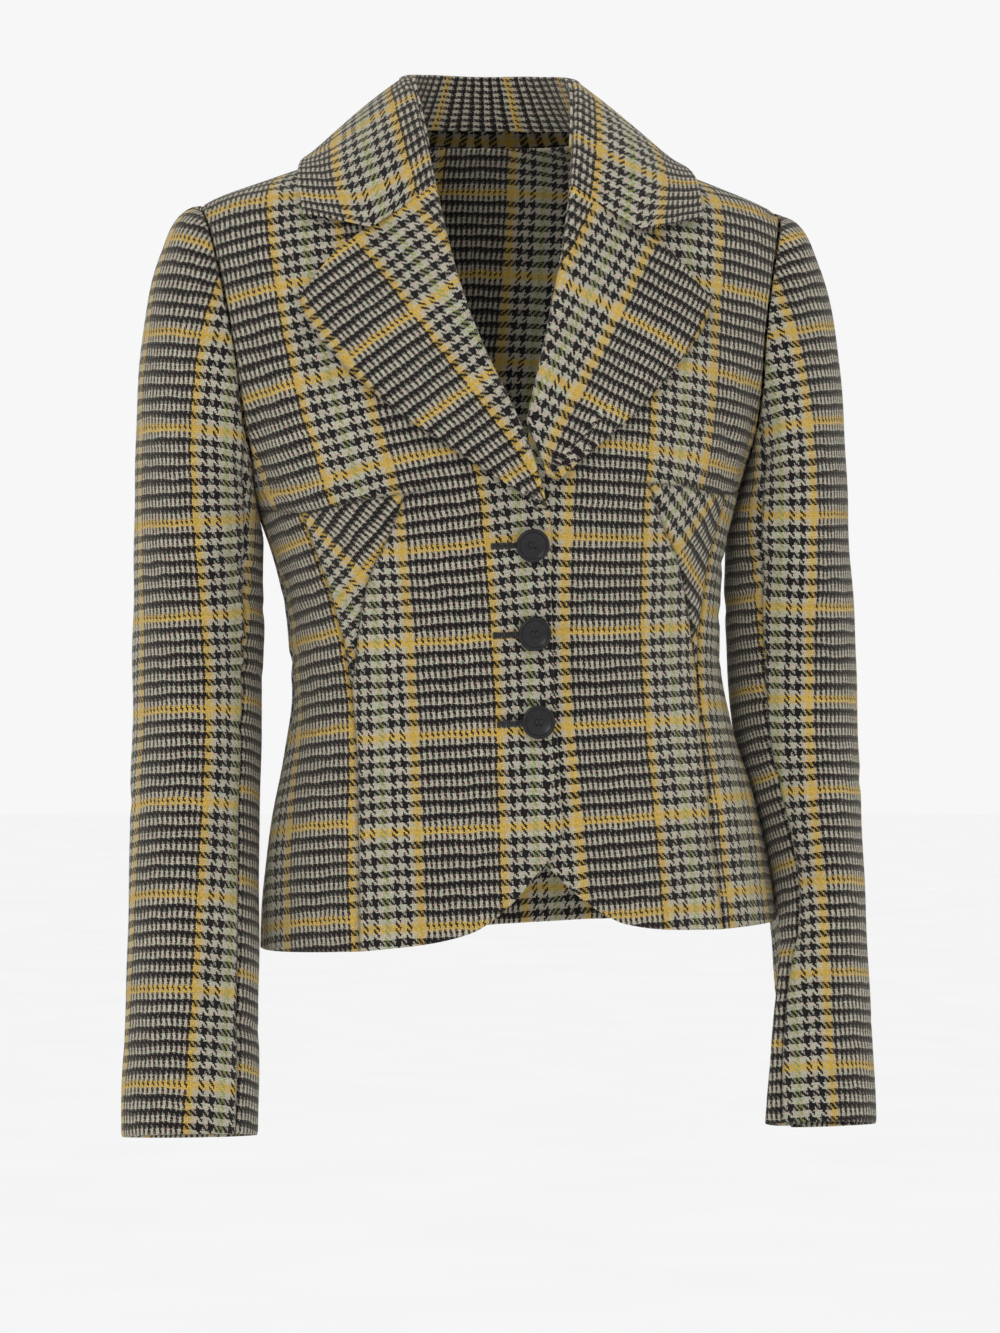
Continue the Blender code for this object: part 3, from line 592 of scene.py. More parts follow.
def laid_on_weave(cut, low, high, weft, line, turned=0.0):
    """The cut, turned and moved: a yellow line runs from low to high and a weft line meets weft."""
    along_line = unit(high - low)
    lean = math.atan2(along_line[0], along_line[1]) + math.radians(turned)
    c, s = math.cos(lean), math.sin(lean)

    def turn(p):
        return np.stack([p[..., 0] * c - p[..., 1] * s, p[..., 0] * s + p[..., 1] * c], axis=-1)

    return turn(cut) + np.array((line - turn(low)[0], LINE_WEFT - turn(weft)[1]))


# ---- meshes ----
def mesh_of(name, points, quads, uv=None, values=None):
    mesh = bpy.data.meshes.new(name)
    mesh.vertices.add(len(points))
    mesh.vertices.foreach_set("co", np.asarray(points, np.float32).ravel())
    mesh.loops.add(quads.size)
    mesh.loops.foreach_set("vertex_index", quads.astype(np.int32).ravel())
    mesh.polygons.add(len(quads))
    mesh.polygons.foreach_set("loop_start", np.arange(0, quads.size, 4, dtype=np.int32))
    mesh.update(calc_edges=True)
    if uv is not None:
        layer = mesh.uv_layers.new(name="Cut")
        layer.data.foreach_set("uv", np.asarray(uv, np.float32)[quads.ravel()].ravel())
    if values is not None:
        attribute = mesh.attributes.new("seam", "FLOAT", "POINT")
        attribute.data.foreach_set("value", np.asarray(values, np.float32))
    mesh.validate()
    mesh.shade_smooth()
    return placed_in_scene(name, mesh)


def placed_in_scene(name, data):
    made = bpy.data.objects.new(name, data)
    bpy.context.scene.collection.objects.link(made)
    return made


def shell(name, points, normals, cut, thickness, seams, cells):
    """A closed thin wall on a grid, its edges softly rounded, with the flat cut as its UV map."""
    ring, used = rings(cells)
    round_off = np.choose(ring, (0.30, 0.08, 0.01, 0.0)) * thickness
    outer = points - round_off[..., None] * normals
    inner = points - (thickness - round_off)[..., None] * normals
    count = int(used.sum())
    number = np.full(used.shape, -1)
    number[used] = np.arange(count)
    i, j = np.nonzero(cells)
    quads = np.stack([number[i, j], number[i, j + 1], number[i + 1, j + 1], number[i + 1, j]], axis=1)
    facing = np.cross(points[i, j + 1] - points[i, j], points[i + 1, j] - points[i, j])
    if np.sum(facing * normals[i, j]) < 0:
        quads = quads[:, ::-1]
    keys = set(zip(quads.ravel().tolist(), np.roll(quads, -1, axis=1).ravel().tolist()))
    rim = np.array([(b, a, a + count, b + count) for a, b in keys if (b, a) not in keys])
    faces = np.concatenate([quads, quads[:, ::-1] + count, rim[np.lexsort(rim.T[::-1])]])
    # The seam strength goes onto the outer face as the seam attribute, which the weave turns into painted
    # shade.
    strength = np.zeros(count) if seams is None else seams[used]
    values = np.concatenate([strength, strength * 0])
    vertices, uv = np.concatenate([outer[used], inner[used]]), np.concatenate([cut[used]] * 2)
    return mesh_of(name, vertices, faces, uv, values)


def around(sides):
    return np.linspace(0, 2 * math.pi, sides, endpoint=False)


def tube_faces(rows, sides, capped=True):
    """Faces between rings of points, with caps on the first and the last ring."""
    a, k = (part.ravel() for part in np.mgrid[: rows - 1, :sides])
    n = (k + 1) % sides
    faces = [np.stack([a * sides + k, a * sides + n, (a + 1) * sides + n, (a + 1) * sides + k], axis=1)]
    k = np.arange(1, sides // 2)
    cap = np.stack([k - 1, k, sides - k - 1, sides - k], axis=1)
    faces += [cap[:, ::-1], cap + (rows - 1) * sides] if capped else []
    return np.concatenate(faces)


def tube(path, thickness, sides=6):
    """Points and faces of a closed round tube along a path."""
    path = np.asarray(path, float)
    ahead = unit(np.gradient(path, axis=0))
    one = unit(np.cross(ahead, (0.31, 0.22, 0.92)))
    two = np.cross(ahead, one)
    radii = np.broadcast_to(thickness, len(path))
    turn = around(sides)
    ring = np.cos(turn)[None, :, None] * one[:, None] + np.sin(turn)[None, :, None] * two[:, None]
    points = (path[:, None] + radii[:, None, None] * ring).reshape(-1, 3)
    return points, tube_faces(len(path), sides)


def joined(parts):
    """Several (points, faces) as one."""
    starts = np.cumsum([0] + [len(points) for points, _ in parts[:-1]])
    faces = [quads + start for (_, quads), start in zip(parts, starts)]
    return np.concatenate([points for points, _ in parts]), np.concatenate(faces)


# ---- materials ----
def colour(r, g, b):
    """Linear colour from the screen values 0 to 255 that it should look like."""
    parts = [value / 255 for value in (r, g, b)]
    return (*(c / 12.92 if c <= 0.04045 else ((c + 0.055) / 1.055) ** 2.4 for c in parts), 1.0)


class Value:
    """What comes out of a node. Arithmetic on values makes the nodes that work it out."""

    def __init__(self, nodes, socket):
        self.nodes, self.socket = nodes, socket

    def math(self, operation, *others):
        return self.nodes.math(operation, self, *others)

    def linear(self, slope, start):
        return self.math("MULTIPLY_ADD", slope, start)

    def clamped(self):
        return self.math("MAXIMUM", 0.0).math("MINIMUM", 1.0)

    def __rsub__(self, other):
        return self.nodes.math("SUBTRACT", other, self)


for sign, operation in (
    ("add", "ADD"), ("sub", "SUBTRACT"), ("mul", "MULTIPLY"), ("truediv", "DIVIDE"),
    ("mod", "FLOORED_MODULO"), ("lt", "LESS_THAN"), ("gt", "GREATER_THAN"),
):
    setattr(Value, f"__{sign}__", lambda self, other, operation=operation: self.math(operation, other))


class Nodes:
    """A short way to wire a material's nodes."""

    def __init__(self, name):
        self.material = bpy.data.materials.new(name)
        self.material.use_nodes = True
        self.tree = self.material.node_tree
        self.shader = self.tree.nodes["Principled BSDF"]

    def put(self, node, inputs):
        """Sets a node's inputs, or links them to values."""
        for key, value in inputs.items():
            if isinstance(value, Value):
                self.tree.links.new(value.socket, node.inputs[key])
            else:
                node.inputs[key].default_value = value

    def node(self, kind, inputs, out=0, **settings):
        made = self.tree.nodes.new("ShaderNode" + kind)
        for key, value in settings.items():
            setattr(made, key, value)
        self.put(made, inputs)
        return Value(self, made.outputs[out])

    def math(self, operation, *values):
        return self.node("Math", dict(enumerate(values)), operation=operation)

    def mix(self, share, first, second, blend="MIX"):
        inputs = {0: share, 6: first, 7: second}
        return self.node("Mix", inputs, 2, data_type="RGBA", blend_type=blend)

    def vector(self, *parts):
        return self.node("CombineXYZ", dict(enumerate(parts)))

    def noise(self, vector, scale, detail=2.0, roughness=0.5):
        inputs = {"Vector": vector, "Scale": scale, "Detail": detail, "Roughness": roughness}
        return self.node("TexNoise", inputs, "Fac")

    def ramp(self, value, *stops):
        made = self.node("ValToRGB", {0: value})
        elements = made.socket.node.color_ramp.elements
        elements.remove(elements[-1])
        elements[0].position, elements[0].color = stops[0]
        for place, shade in stops[1:]:
            elements.new(place).color = shade
        return made

    def bump(self, height, distance, strength):
        inputs = {"Strength": strength, "Distance": distance, "Height": height}
        self.put(self.shader, {"Normal": self.node("Bump", inputs)})


DARK, LIGHT = colour(25, 23, 27), colour(203, 193, 177)
YELLOW, SAGE = colour(220, 182, 82), colour(164, 172, 104)


def make_tweed():
    """The weave, worked out from each point of the flat cut: which threads cross and which is on top."""
    g = Nodes("tweed_weave")
    cut = g.node("UVMap", {}, uv_map="Cut")
    u, v = (g.node("SeparateXYZ", {0: cut}, axis) for axis in (0, 1))

    def wander(shift, slow, fine):
        moved = g.node("VectorMath", {0: cut, 1: (shift, shift * 0.7, 0.0)}, operation="ADD")
        return (g.noise(moved, 75.0, 1.0) - 0.5) * slow + (g.noise(moved, 900.0, 2.0, 0.7) - 0.5) * fine

    warp = (u + wander(3.1, 0.0024, 0.0022)) / WARP_PITCH
    weft = (v + wander(7.7, 0.0030, 0.0022)) / WEFT_PITCH
    j, i = warp.math("FLOOR"), weft.math("FLOOR")
    warp_up = (i + j) % 4 < 2
    weft_up = 1.0 - warp_up

    light = g.ramp(
        g.noise(cut, 420.0, 2.0, 0.6),
        (0.30, colour(212, 176, 163)),
        (0.45, LIGHT),
        (0.56, colour(201, 200, 177)),
        (0.70, colour(172, 195, 172)),
    )
    dark = g.ramp(
        g.noise(g.vector(v, u, 5.0), 380.0, 2.0, 0.6),
        (0.30, colour(52, 30, 30)),
        (0.45, DARK),
        (0.58, DARK),
        (0.74, colour(28, 46, 40)),
    )

    # Beside a yellow line, the pale threads take up some of its colour.
    from_a, from_b = (
        (warp - line / WARP_PITCH).math("PINGPONG", WARP_REPEAT / 2) for line in (LINE_A, LINE_B)
    )
    from_weft = (weft - LINE_WEFT / WEFT_PITCH).math("PINGPONG", WEFT_REPEAT / 2)
    beside_warp = from_a.math("MINIMUM", from_b).linear(-0.26, 1.42).clamped()
    beside_weft = from_weft.linear(-0.36, 1.50).clamped()
    light = g.mix(beside_warp.math("MAXIMUM", beside_weft) * 0.60, light, YELLOW)

    in_repeat = j % WARP_REPEAT
    in_check = in_repeat < CHECK_THREADS
    group = (in_repeat / (2.0 * GROUP)).math("FLOOR")
    check = g.mix(group.math("COMPARE", 3.0, 0.4), g.mix(group < 0.5, dark, YELLOW), SAGE)
    check = g.mix(in_repeat % (2 * GROUP) > GROUP - 0.5, check, light)
    in_stripes = in_repeat - float(CHECK_THREADS)
    stripe_light = in_stripes % 4 < 2
    stripe_line = in_stripes < GROUP
    stripes = g.mix(stripe_light, g.mix(0.35, dark, colour(74, 42, 42)), light)
    warp_colour = g.mix(in_check, g.mix(stripe_line, stripes, YELLOW), check)

    weft_light = i % (2 * GROUP) > GROUP - 0.5
    weft_yellow = i % WEFT_REPEAT > YELLOW_WEFT - 0.5
    weft_colour = g.mix(weft_light, g.mix(weft_yellow, dark, YELLOW), light)
    threads = g.mix(warp_up, weft_colour, warp_colour)

    warp_round, weft_round = ((part.math("FRACT") * math.pi).math("SINE") for part in (warp, weft))
    over = warp_up * warp_round + weft_up * weft_round
    number = g.mix(warp_up, g.vector(9.0, i), g.vector(j, 17.0))
    thread_shade = g.node("TexWhiteNoise", {"Vector": number}, "Value", noise_dimensions="3D")
    slub, cloudy = g.noise(cut, 1300.0, 3.0, 0.75).linear(0.9, 0.55), g.noise(cut, 30.0).linear(0.16, 0.92)
    # Painted shade: each thread darkens towards its sides, where its round turns away; thread_shade, slub
    # and cloudy are the yarn's own uneven tone.
    shade = over.linear(0.42, 0.50) * thread_shade.linear(0.24, 0.86) * slub * cloudy
    # The dark weft is the thicker yarn, so it crowds the pale stripes that cross it, and painted shade from
    # it dims them too.
    dark_row = (1.0 - weft_light) * (1.0 - weft_yellow)
    in_stripe = (1.0 - in_check) * (1.0 - stripe_line)
    crowded_and_shaded = warp_up * dark_row * (in_stripe.linear(0.32, 1.12) - warp_round)
    shade = shade * crowded_and_shaded.linear(-0.95, 1.0).clamped()
    # The dark stripes show between the pale weft threads that cross them.
    between = in_stripe * (1.0 - stripe_light) * weft_light * weft_up * (1.50 - weft_round)
    shade = shade * between.linear(-0.85, 1.0).clamped()
    # Painted shade in the seams and along the lapel's edge, from the seam attribute.
    shade = shade * g.node("Attribute", {}, "Fac", attribute_name="seam").linear(-0.35, 1.0)
    shaded = g.mix(1.0, threads, g.vector(shade, shade, shade), "MULTIPLY")
    fleck = g.noise(cut, 700.0, 3.0, 0.8) > 0.70
    shaded = g.mix(fleck * 0.5, shaded, colour(150, 150, 138))
    g.bump(over * 0.7 + g.noise(cut, 2600.0, 3.0, 0.8) * 0.9, 0.00045, 0.8)
    looks = {"Base Color": shaded, "Roughness": 0.94, "Specular IOR Level": 0.18, "Sheen Weight": 0.28}
    g.put(g.shader, {**looks, "Sheen Roughness": 0.45, "Sheen Tint": colour(214, 208, 192)})
    return g.material


def mottled(name, scale, *stops):
    """The nodes of a material whose colour drifts between two, and the place they are worked out at."""
    g = Nodes(name)
    place = g.node("TexCoord", {}, "Object")
    g.put(g.shader, {"Base Color": g.ramp(g.noise(place, *scale), *stops)})
    return g, place


def make_horn():
    """Polished black button stock, faintly mottled and scuffed."""
    shades = (0.35, colour(11, 11, 13)), (0.65, colour(24, 23, 27))
    g, place = mottled("black_horn", (260.0, 4.0, 0.6), *shades)
    g.bump(g.noise(place, 1500.0, 3.0, 0.6), 0.00004, 0.5)
    g.put(g.shader, {"Roughness": g.noise(place, 900.0, 3.0, 0.7).linear(0.20, 0.24)})
    g.put(g.shader, {"Specular IOR Level": 0.30, "Coat Weight": 0.06, "Coat Roughness": 0.16})
    return g.material


def make_thread():
    """Black silk twist: fine plied ribs with a low sheen."""
    shades = (0.35, colour(12, 14, 14)), (0.7, colour(34, 38, 37))
    g, place = mottled("black_twist", (1800.0, 3.0, 0.7), *shades)
    g.bump(g.noise(place, 3200.0, 2.0, 0.6), 0.00012, 0.8)
    g.put(g.shader, {"Roughness": 0.62, "Sheen Weight": 0.2, "Sheen Roughness": 0.4})
    return g.material


TWEED, HORN, TWIST = make_tweed(), make_horn(), make_thread()


def settle_in(piece, material, slot, *nodes):
    piece.data.materials.append(material)
    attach(piece, "root")
    if nodes:
        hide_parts(*nodes)


def cut_size(cut, cells):
    """The flat cut's width, length and area."""
    one, two = cut[1:, 1:] - cut[:-1, :-1], cut[1:, :-1] - cut[:-1, 1:]
    area = np.abs(one[..., 0] * two[..., 1] - one[..., 1] * two[..., 0]) / 2
    used = np.zeros(cut.shape[:2], bool)
    used[:-1, :-1] |= cells
    used[1:, 1:] |= cells
    return np.ptp(cut[used][:, 0]), np.ptp(cut[used][:, 1]), float((area * cells).sum())


def tailor(name, points, normals, cut, thickness, seams=None, cells=None):
    cells = all_cells(points) if cells is None else cells
    piece = shell(name + "_cloth", points, normals, cut, thickness, seams, cells)
    settle_in(piece, TWEED, "tweed", name)
    width, length, area = cut_size(cut, cells)
    area = min(area, 0.999 * width * length)


# ---- torso panels ----
def lower_grid(start, end, top, girth, height, floor=None):
    """Angles and heights between two seams, from the hem or a floor up to a top seam."""
    shares, levels = spread(girth), spread(height)
    z = np.full((len(levels), len(shares)), -0.4)
    for _ in range(8):
        first, last = start(z), end(z)
        angle = first + (last - first) * shares
        low = hem_at(angle) if floor is None else np.full_like(angle, floor)
        high = top(angle) if callable(top) else np.full_like(angle, top)
        z = low + (high - low) * levels[:, None]
    return angle, z


FRONT_GIRTH, FRONT_LOWER, FRONT_UPPER = 0.105, 0.270, 0.235  # usual sizes of the front's two blocks


def front_grid():
    """A front's angles, heights and cells: hem to shoulder at centre front, and over the gore beside it."""
    inner, outer = spread(FRONT_GIRTH), spread(FRONT_GIRTH)[1:]
    angle_low, z_low = lower_grid(front_edge, front_seam, under_bust_at, FRONT_GIRTH, FRONT_LOWER)
    rise = np.concatenate([[0.0], spread(FRONT_UPPER)[1:]])[:, None]
    count = len(inner)
    split_low = float(front_seam(np.array(GORE_CORNER_Z)))
    split = split_low + (SHOULDER_SPLIT - split_low) * rise
    angle = np.zeros((len(rise), count + len(outer)))
    z = np.full_like(angle, -0.2)
    for _ in range(8):
        first = front_edge(z[:, :count])
        last = np.where(z[:, count:] > UNDERARM_Z, armhole_front(z[:, count:]), math.pi / 2)
        angle[:, :count] = first + (split - first) * inner
        angle[:, count:] = split + (last - split) * outer
        total = np.clip((angle - angle[:, :1]) / (angle[:, -1:] - angle[:, :1]), 0, 1)
        top = ROLL_TOP_Z + (NECK_Z - ROLL_TOP_Z) * total
        low = under_bust_at(angle)
        z = low + (top - low) * rise
    joint = (len(z_low) - 1, count - 1)
    # The gore's place beside the lower block is filled with cells that aren't used.
    grid = []
    for lower, upper in ((angle_low, angle), (z_low, z)):
        filler = np.repeat(upper[:1, count:], joint[0], axis=0)
        grid.append(np.vstack([np.hstack([lower[:-1], filler]), upper]))
    cells = all_cells(grid[0])
    cells[: joint[0], joint[1] :] = False
    return grid, cells, joint


# Where the cutter laid each panel on the check: a yellow line from low to high, and a yellow weft line.
# Points are the distance from centre front (or centre back) and the height.
LAYS = {
    # name: low, high, weft, line
    "front_right": (*mm((-26, -465), (-44, -150), (-30, -344)), LINE_A),
    "front_left": (*mm((25, -465), (39, -150), (25, -341)), LINE_B),
    "gore_right": (*mm((-116, -350), (-112, -260), (-112, -300)), LINE_A),
    "gore_left": (*mm((116, -350), (112, -260), (112, -300)), LINE_A),
    "side_front_right": (*mm((-125, -520), (-128, -300), (-140, -400)), LINE_A),
    "side_front_left": (*mm((128, -520), (130, -300), (140, -395)), LINE_A),
    "side_back_right": (*mm((-150, -520), (-135, -300), (-135, -400)), LINE_B),
    "side_back_left": (*mm((150, -520), (135, -300), (135, -400)), LINE_B),
    "back_right": (*mm((-26, -520), (-26, -100), (-26, -335)), LINE_A),
    "back_left": (*mm((26, -520), (26, -100), (26, -335)), LINE_B),
}
PANELS = (
    ("gore_", front_seam, side_front_seam, under_bust_at, 0.055, 0.11, GORE_FLOOR, 52),
    ("side_front_", side_front_seam, side_line, under_bust_at, 0.075, 0.28, None, 0),
    ("side_back_", side_back_start, back_seam, BACK_SEAM_TOP_Z, 0.12, 0.385, None, 0),
    ("back_", back_side, centre_back, NECK_Z, 0.12, 0.53, None, 0),
)


def make_torso_panel(name, side, grid, reference, cells=None, joint=(0, 0), turned=0.0):
    plain, points, normals, seams = body_surface(*grid, side)
    flat = flatten(plain, reference, cells, joint) * (side, 1)
    *lay, line = LAYS[name]
    ends = [nearest_cut(plain[..., ::2], flat, place) for place in lay]
    flat = laid_on_weave(flat, *ends, line, turned)
    tailor(name, points, normals, flat, CLOTH, seams, cells)


def make_body(side, word):
    grid, cells, joint = front_grid()
    make_torso_panel("front_" + word, side, grid, 8, cells, joint)
    for name, *seams_and_sizes, turned in PANELS:
        grid = lower_grid(*seams_and_sizes)
        columns = grid[0].shape[1]
        reference = columns - 6 if name == "back_" else columns // 2
        make_torso_panel(name + word, side, grid, reference, turned=side * turned)


# ---- lapels ----
LAPEL_LENGTH, LAPEL_WIDTH = 0.235, 0.085  # usual sizes
LAPEL_END_Z = {-1: -0.2585, 1: -0.2400}  # where each roll ends; the left one goes under


def lapel_height(share):
    """How far the lapel's underside stands off the front, highest where it rolls."""
    return 0.0010 + 0.0020 * (1 - ease(share / 0.45))


def with_roll(points, normals, across, roll, tail):
    """A turned piece with its fold: round a roll at its first column, and a little way back inside."""
    first, way = points[:, 0], normals[:, 0]
    centre = first - roll[:, None] * way
    turns = np.radians(np.arange(180, 0, -20))
    out = [math.cos(turn) * way - math.sin(turn) * across for turn in turns]
    turned = [centre + roll[:, None] * way_out for way_out in out]
    inside = [turned[0] + tail * reach * across for reach in (1.0, 0.8, 0.4)]
    under = np.stack(inside + turned, axis=1)
    under_normals = np.stack([-way] * 3 + out, axis=1)
    points = np.concatenate([under, points], axis=1)
    return points, unit(np.concatenate([under_normals, normals], axis=1)), under.shape[1]


def make_lapel(side, word):
    heights = np.linspace(ROLL_TOP_Z, LAPEL_END_Z[side], 40)
    across = roll_across(heights)
    if side > 0:
        across = np.maximum(across, (-0.211 - heights) * 0.24 + 0.0025)
    inner_line = np.stack([across, heights], axis=-1)
    edge = LAPEL_EDGE if side > 0 else [*LAPEL_EDGE, LAPEL_POINT]
    t, s = spread(LAPEL_LENGTH), spread(LAPEL_WIDTH, low=False)
    start, end = along(inner_line, t), along(edge, t)
    start[:, 0] += roll_radius(start[:, 1])
    flat = start[:, None] + (end - start)[:, None] * s[None, :, None]
    corner = inner_line[0] * (1 - s)[:, None] + np.array(LAPEL_EDGE[0]) * s[:, None]
    flat = flat + ((along(LAPEL_TOP, s) - corner)[None] * (1 - t)[:, None, None])
    plain = on_chest(side * flat[..., 0], flat[..., 1])
    way = outward(plain)
    lift = lapel_height(s)[None] + LAPEL_CLOTH
    lift = lift + (0.0022 + 0.0008 * np.sin(9.0 * t + 0.6))[:, None] * ease((s - 0.3) / 0.6)[None]
    points, normals = posed(plain + lift[..., None] * way, way)
    over = unit(points[:, 3] - points[:, 0])
    roll = roll_radius(start[:, 1]) * (1 - 0.35 * ease((t - 0.85) / 0.15))
    points, normals, fold = with_roll(points, normals, over, roll, 0.010)
    cut = flatten(points, fold) * (side, -1)
    # The houndstooth lies next to the roll, and its outer yellow line runs into the roll low down.
    first, last = cut[2, fold], cut[-3, fold]
    high, low = first + np.array((side * 0.0615, 0.0)), last - np.array((side * 0.0019, 0.0))
    weft = first - np.array((0.0, 0.0047))
    cut = laid_on_weave(cut, low, high, weft, LINE_B if side > 0 else LINE_A)
    # A painted shade line along the lapel's outer edge, given as its seam strength.
    from_edge = np.concatenate([np.ones(fold), 1 - s]) * LAPEL_WIDTH
    seams = np.tile(0.8 * np.exp(-((from_edge / 0.0016) ** 2)), (len(points), 1))
    tailor("lapel_" + word, points, normals, cut, FACE_CLOTH, seams)


# ---- collar ----
def collar_row(share):
    """Fold, middle and edge of the collar at shares of the way from the gorge to centre back."""
    stations = np.linspace(0, 1, len(COLLAR))
    found = []
    for k in range(3):
        table = [(s, *row[k]) for s, row in zip(stations, COLLAR)]
        found.append(np.stack([softened(table, c + 1, 0.05)(share) for c in range(3)], axis=-1))
    return found


def collar_half(shares, widths):
    """The collar's underside on one side, from the gorge to centre back."""
    fold, middle, edge = (part[:, None] for part in collar_row(shares))
    s = widths[None, :, None]
    straight = np.where(s < 0.5, fold + (middle - fold) * 2 * s, middle + (edge - middle) * (2 * s - 1))
    bend = (1 - s) * (1 - 2 * s) * fold + 4 * s * (1 - s) * middle + s * (2 * s - 1) * edge
    points = straight + (bend - straight) * ease(shares / 0.2)[:, None, None]
    return lifted(points, COLLAR_STANDOFF)


def both_sides(half):
    """Rows for one side, mirrored and joined at centre back."""
    return np.concatenate([half * (-1.0, 1.0, 1.0), half[-2::-1]], axis=0)


def smoothed(points, rounds):
    """Evens out a grid along its rows, leaving its ends as they are."""
    for _ in range(rounds):
        points[2:-2] += 0.5 * ((points[1:-3] + points[3:-1]) / 2 - points[2:-2])
    return points


def strip_lengths(points, column):
    """Distances over a grid that is nearly flat already: mean steps across, one column's along."""
    u = running(size_of(np.diff(points, axis=1)).mean(axis=0))
    return u, running(size_of(np.diff(points[:, column], axis=0)))


def strip_cut(u, v):
    return np.stack(np.broadcast_arrays(u[None], v[:, None]), axis=-1)


def make_collar():
    widths = spread(0.090, low=False)
    fall = smoothed(both_sides(collar_half(spread(0.235, high=False), widths)), 30)
    normals = unit(np.cross(np.gradient(fall, axis=0), np.gradient(fall, axis=1)))
    if np.sum(normals * (fall - (0.0, 0.0, -0.15))) < 0:
        normals = -normals
    top = fall + LAPEL_CLOTH * normals
    over = unit(top[:, 3] - top[:, 0])
    top = top + (ROLL_RADIUS * (1 - widths) ** 2)[None, :, None] * over[:, None]
    points, normals, fold = with_roll(top, normals, over, np.full(len(top), ROLL_RADIUS), 0.008)
    u, v = strip_lengths(points, points.shape[1] // 2)
    cut = strip_cut(u - u[fold - 5] + LINE_A - 0.020, v + LINE_WEFT - 0.022)
    tailor("collar", points, normals, cut, FACE_CLOTH)


def make_collar_stand():
    share = np.linspace(0.14, 1, 70)
    top = collar_row(share)[0] + (0.0, 0.0, -0.0005)
    seam = along(NECK_SEAM, np.clip((share - 0.16) / 0.84, 0, 1))
    k = spread(0.036)[None, :, None]
    points = both_sides(seam[:, None] + (top - seam)[:, None] * k)
    way = unit(points * (1.0, 1.0, 0.0))
    points = points - (0.0008 + 0.0006 * np.sin(3.0 * k)) * way
    u, v = strip_lengths(points, 0)
    tailor("collar_stand", points, way, strip_cut(u + 60 * WARP_PITCH, v), CLOTH)


# ---- sleeves ----
def armhole_point(side, turn):
    """The armhole seam: 90 degrees at the shoulder, 0 in front, -90 under the arm."""
    middle, reach = (SHOULDER_Z + UNDERARM_Z) / 2, (SHOULDER_Z - UNDERARM_Z) / 2
    z = middle + reach * np.sin(turn)
    angle = np.where(np.cos(turn) > 0, angle_at(armhole_across(z), z), armhole_back(z))
    return posture(torso(side * angle, z)) + (side * 0.0005, 0.0, 0.0)


def sleeve_section(side, turn, z):
    centre_x, centre_y, wide, deep = (softened(SLEEVES[side], c, 0.012) for c in (1, 2, 3, 4))
    turn, z = np.broadcast_arrays(turn, z)
    lean = (centre_y(z + 0.01) - centre_y(z - 0.01)) / 0.02 * ease((CAP_END_Z - z) / 0.20)
    size = np.hypot(1.0, lean)
    forward = deep(z) * np.cos(turn)
    x = side * (centre_x(z) + wide(z) * np.sin(turn))
    return np.stack([x, centre_y(z) - forward / size, z + forward * lean / size], axis=-1)


def sleeve_cap(side, turn, t):
    """From the armhole seam out over the sleeve head and down to the first section."""
    start, end = armhole_point(side, turn), sleeve_section(side, turn, CAP_END_Z)
    high = (1 + np.sin(turn)) / 2
    drop = end[..., 2] - start[..., 2]
    out, forward = side * CAP_REACH * high**1.3, -0.030 * np.cos(turn)
    leave = np.stack([out, forward, drop * (1 - high) * 0.9], axis=-1)
    arrive = np.stack([np.full_like(drop, side * 0.002), np.zeros_like(drop), 0.9 * drop], axis=-1)
    t = t[..., None]
    a, b = (1 + 2 * t) * (1 - t) ** 2, t * (1 - t) ** 2
    c, d = t * t * (3 - 2 * t), t * t * (t - 1)
    return a * start + b * leave + c * end + d * arrive


def sleeve_grid(side, turns):
    """The sleeve's tube from armhole to cuff, and each point's distance from the armhole."""
    caps = spread(0.16, high=False)
    heights = CAP_END_Z + (CUFF_Z - CAP_END_Z) * spread(0.405, low=False)[1:]
    cap = sleeve_cap(side, turns[None], caps[:, None] * np.ones((1, len(turns))))
    grid = np.concatenate([cap, sleeve_section(side, turns[None], heights[:, None])], axis=0)
    away = size_of(grid - grid[:1])
    smooth = grid.copy()
    for _ in range(60):
        smooth[1:-1] += 0.5 * ((smooth[:-2] + smooth[2:]) / 2 - smooth[1:-1])
    return grid + ease((away - 0.012) / 0.03)[..., None] * (smooth - grid), away


def make_sleeve(side, word):
    """Top sleeve and under sleeve, cut from one tube at the two sleeve seams."""
    front, back = FRONT_SLEEVE_SEAM, BACK_SLEEVE_SEAM
    under_turns = back + (front - back) * spread(0.115)
    top_turns = front + (2 * math.pi + back - front) * spread(0.235)
    turns = np.concatenate([under_turns, top_turns[1:-1]])
    grid, away = sleeve_grid(side, turns)
    wrap = np.concatenate([grid[:, -1:], grid, grid[:, :1]], axis=1)
    normals = unit(np.cross(np.gradient(wrap, axis=1), np.gradient(wrap, axis=0))[:, 1:-1])
    if np.sum(normals[-40:] * (grid - grid.mean(axis=1, keepdims=True))[-40:]) < 0:
        normals = -normals
    sunk = fold_relief(SLEEVE_FOLDS[side], np.degrees(turns)[None], grid[..., 2], 0.05)
    sunk = sunk * ease((away - 0.010) / 0.030) + unevenness(grid, 0.0007)
    seams = 0.4 * np.exp(-((away / SEAM_WIDTH) ** 2))
    for seam_turn in (front, back):
        gap = np.abs((turns - seam_turn + math.pi) % (2 * math.pi) - math.pi) * 0.05
        seams = np.maximum(seams, np.exp(-((gap / SEAM_WIDTH) ** 2))[None])
    points = grid - (sunk + SEAM_DEPTH * seams)[..., None] * normals
    points = posture(lifted(without_posture(points), np.minimum(0.0005 + 0.15 * away, 0.0030)))
    last = len(under_turns) - 1
    order = np.arange(len(turns))
    for kind, columns in (("under", order[: last + 1]), ("top", np.append(order[last:], 0))):
        some = points[:, columns]
        cut = flatten(some, some.shape[1] // 2, level=-1) * (side, -1)
        ends = [nearest_cut(some, cut, place) for place in sleeve_lay(side, kind)]
        cut = laid_on_weave(cut, *ends, LINE_A if side < 0 else LINE_B)
        name = f"sleeve_{kind}_{word}"
        tailor(name, some, normals[:, columns], cut, CLOTH, seams[:, columns])


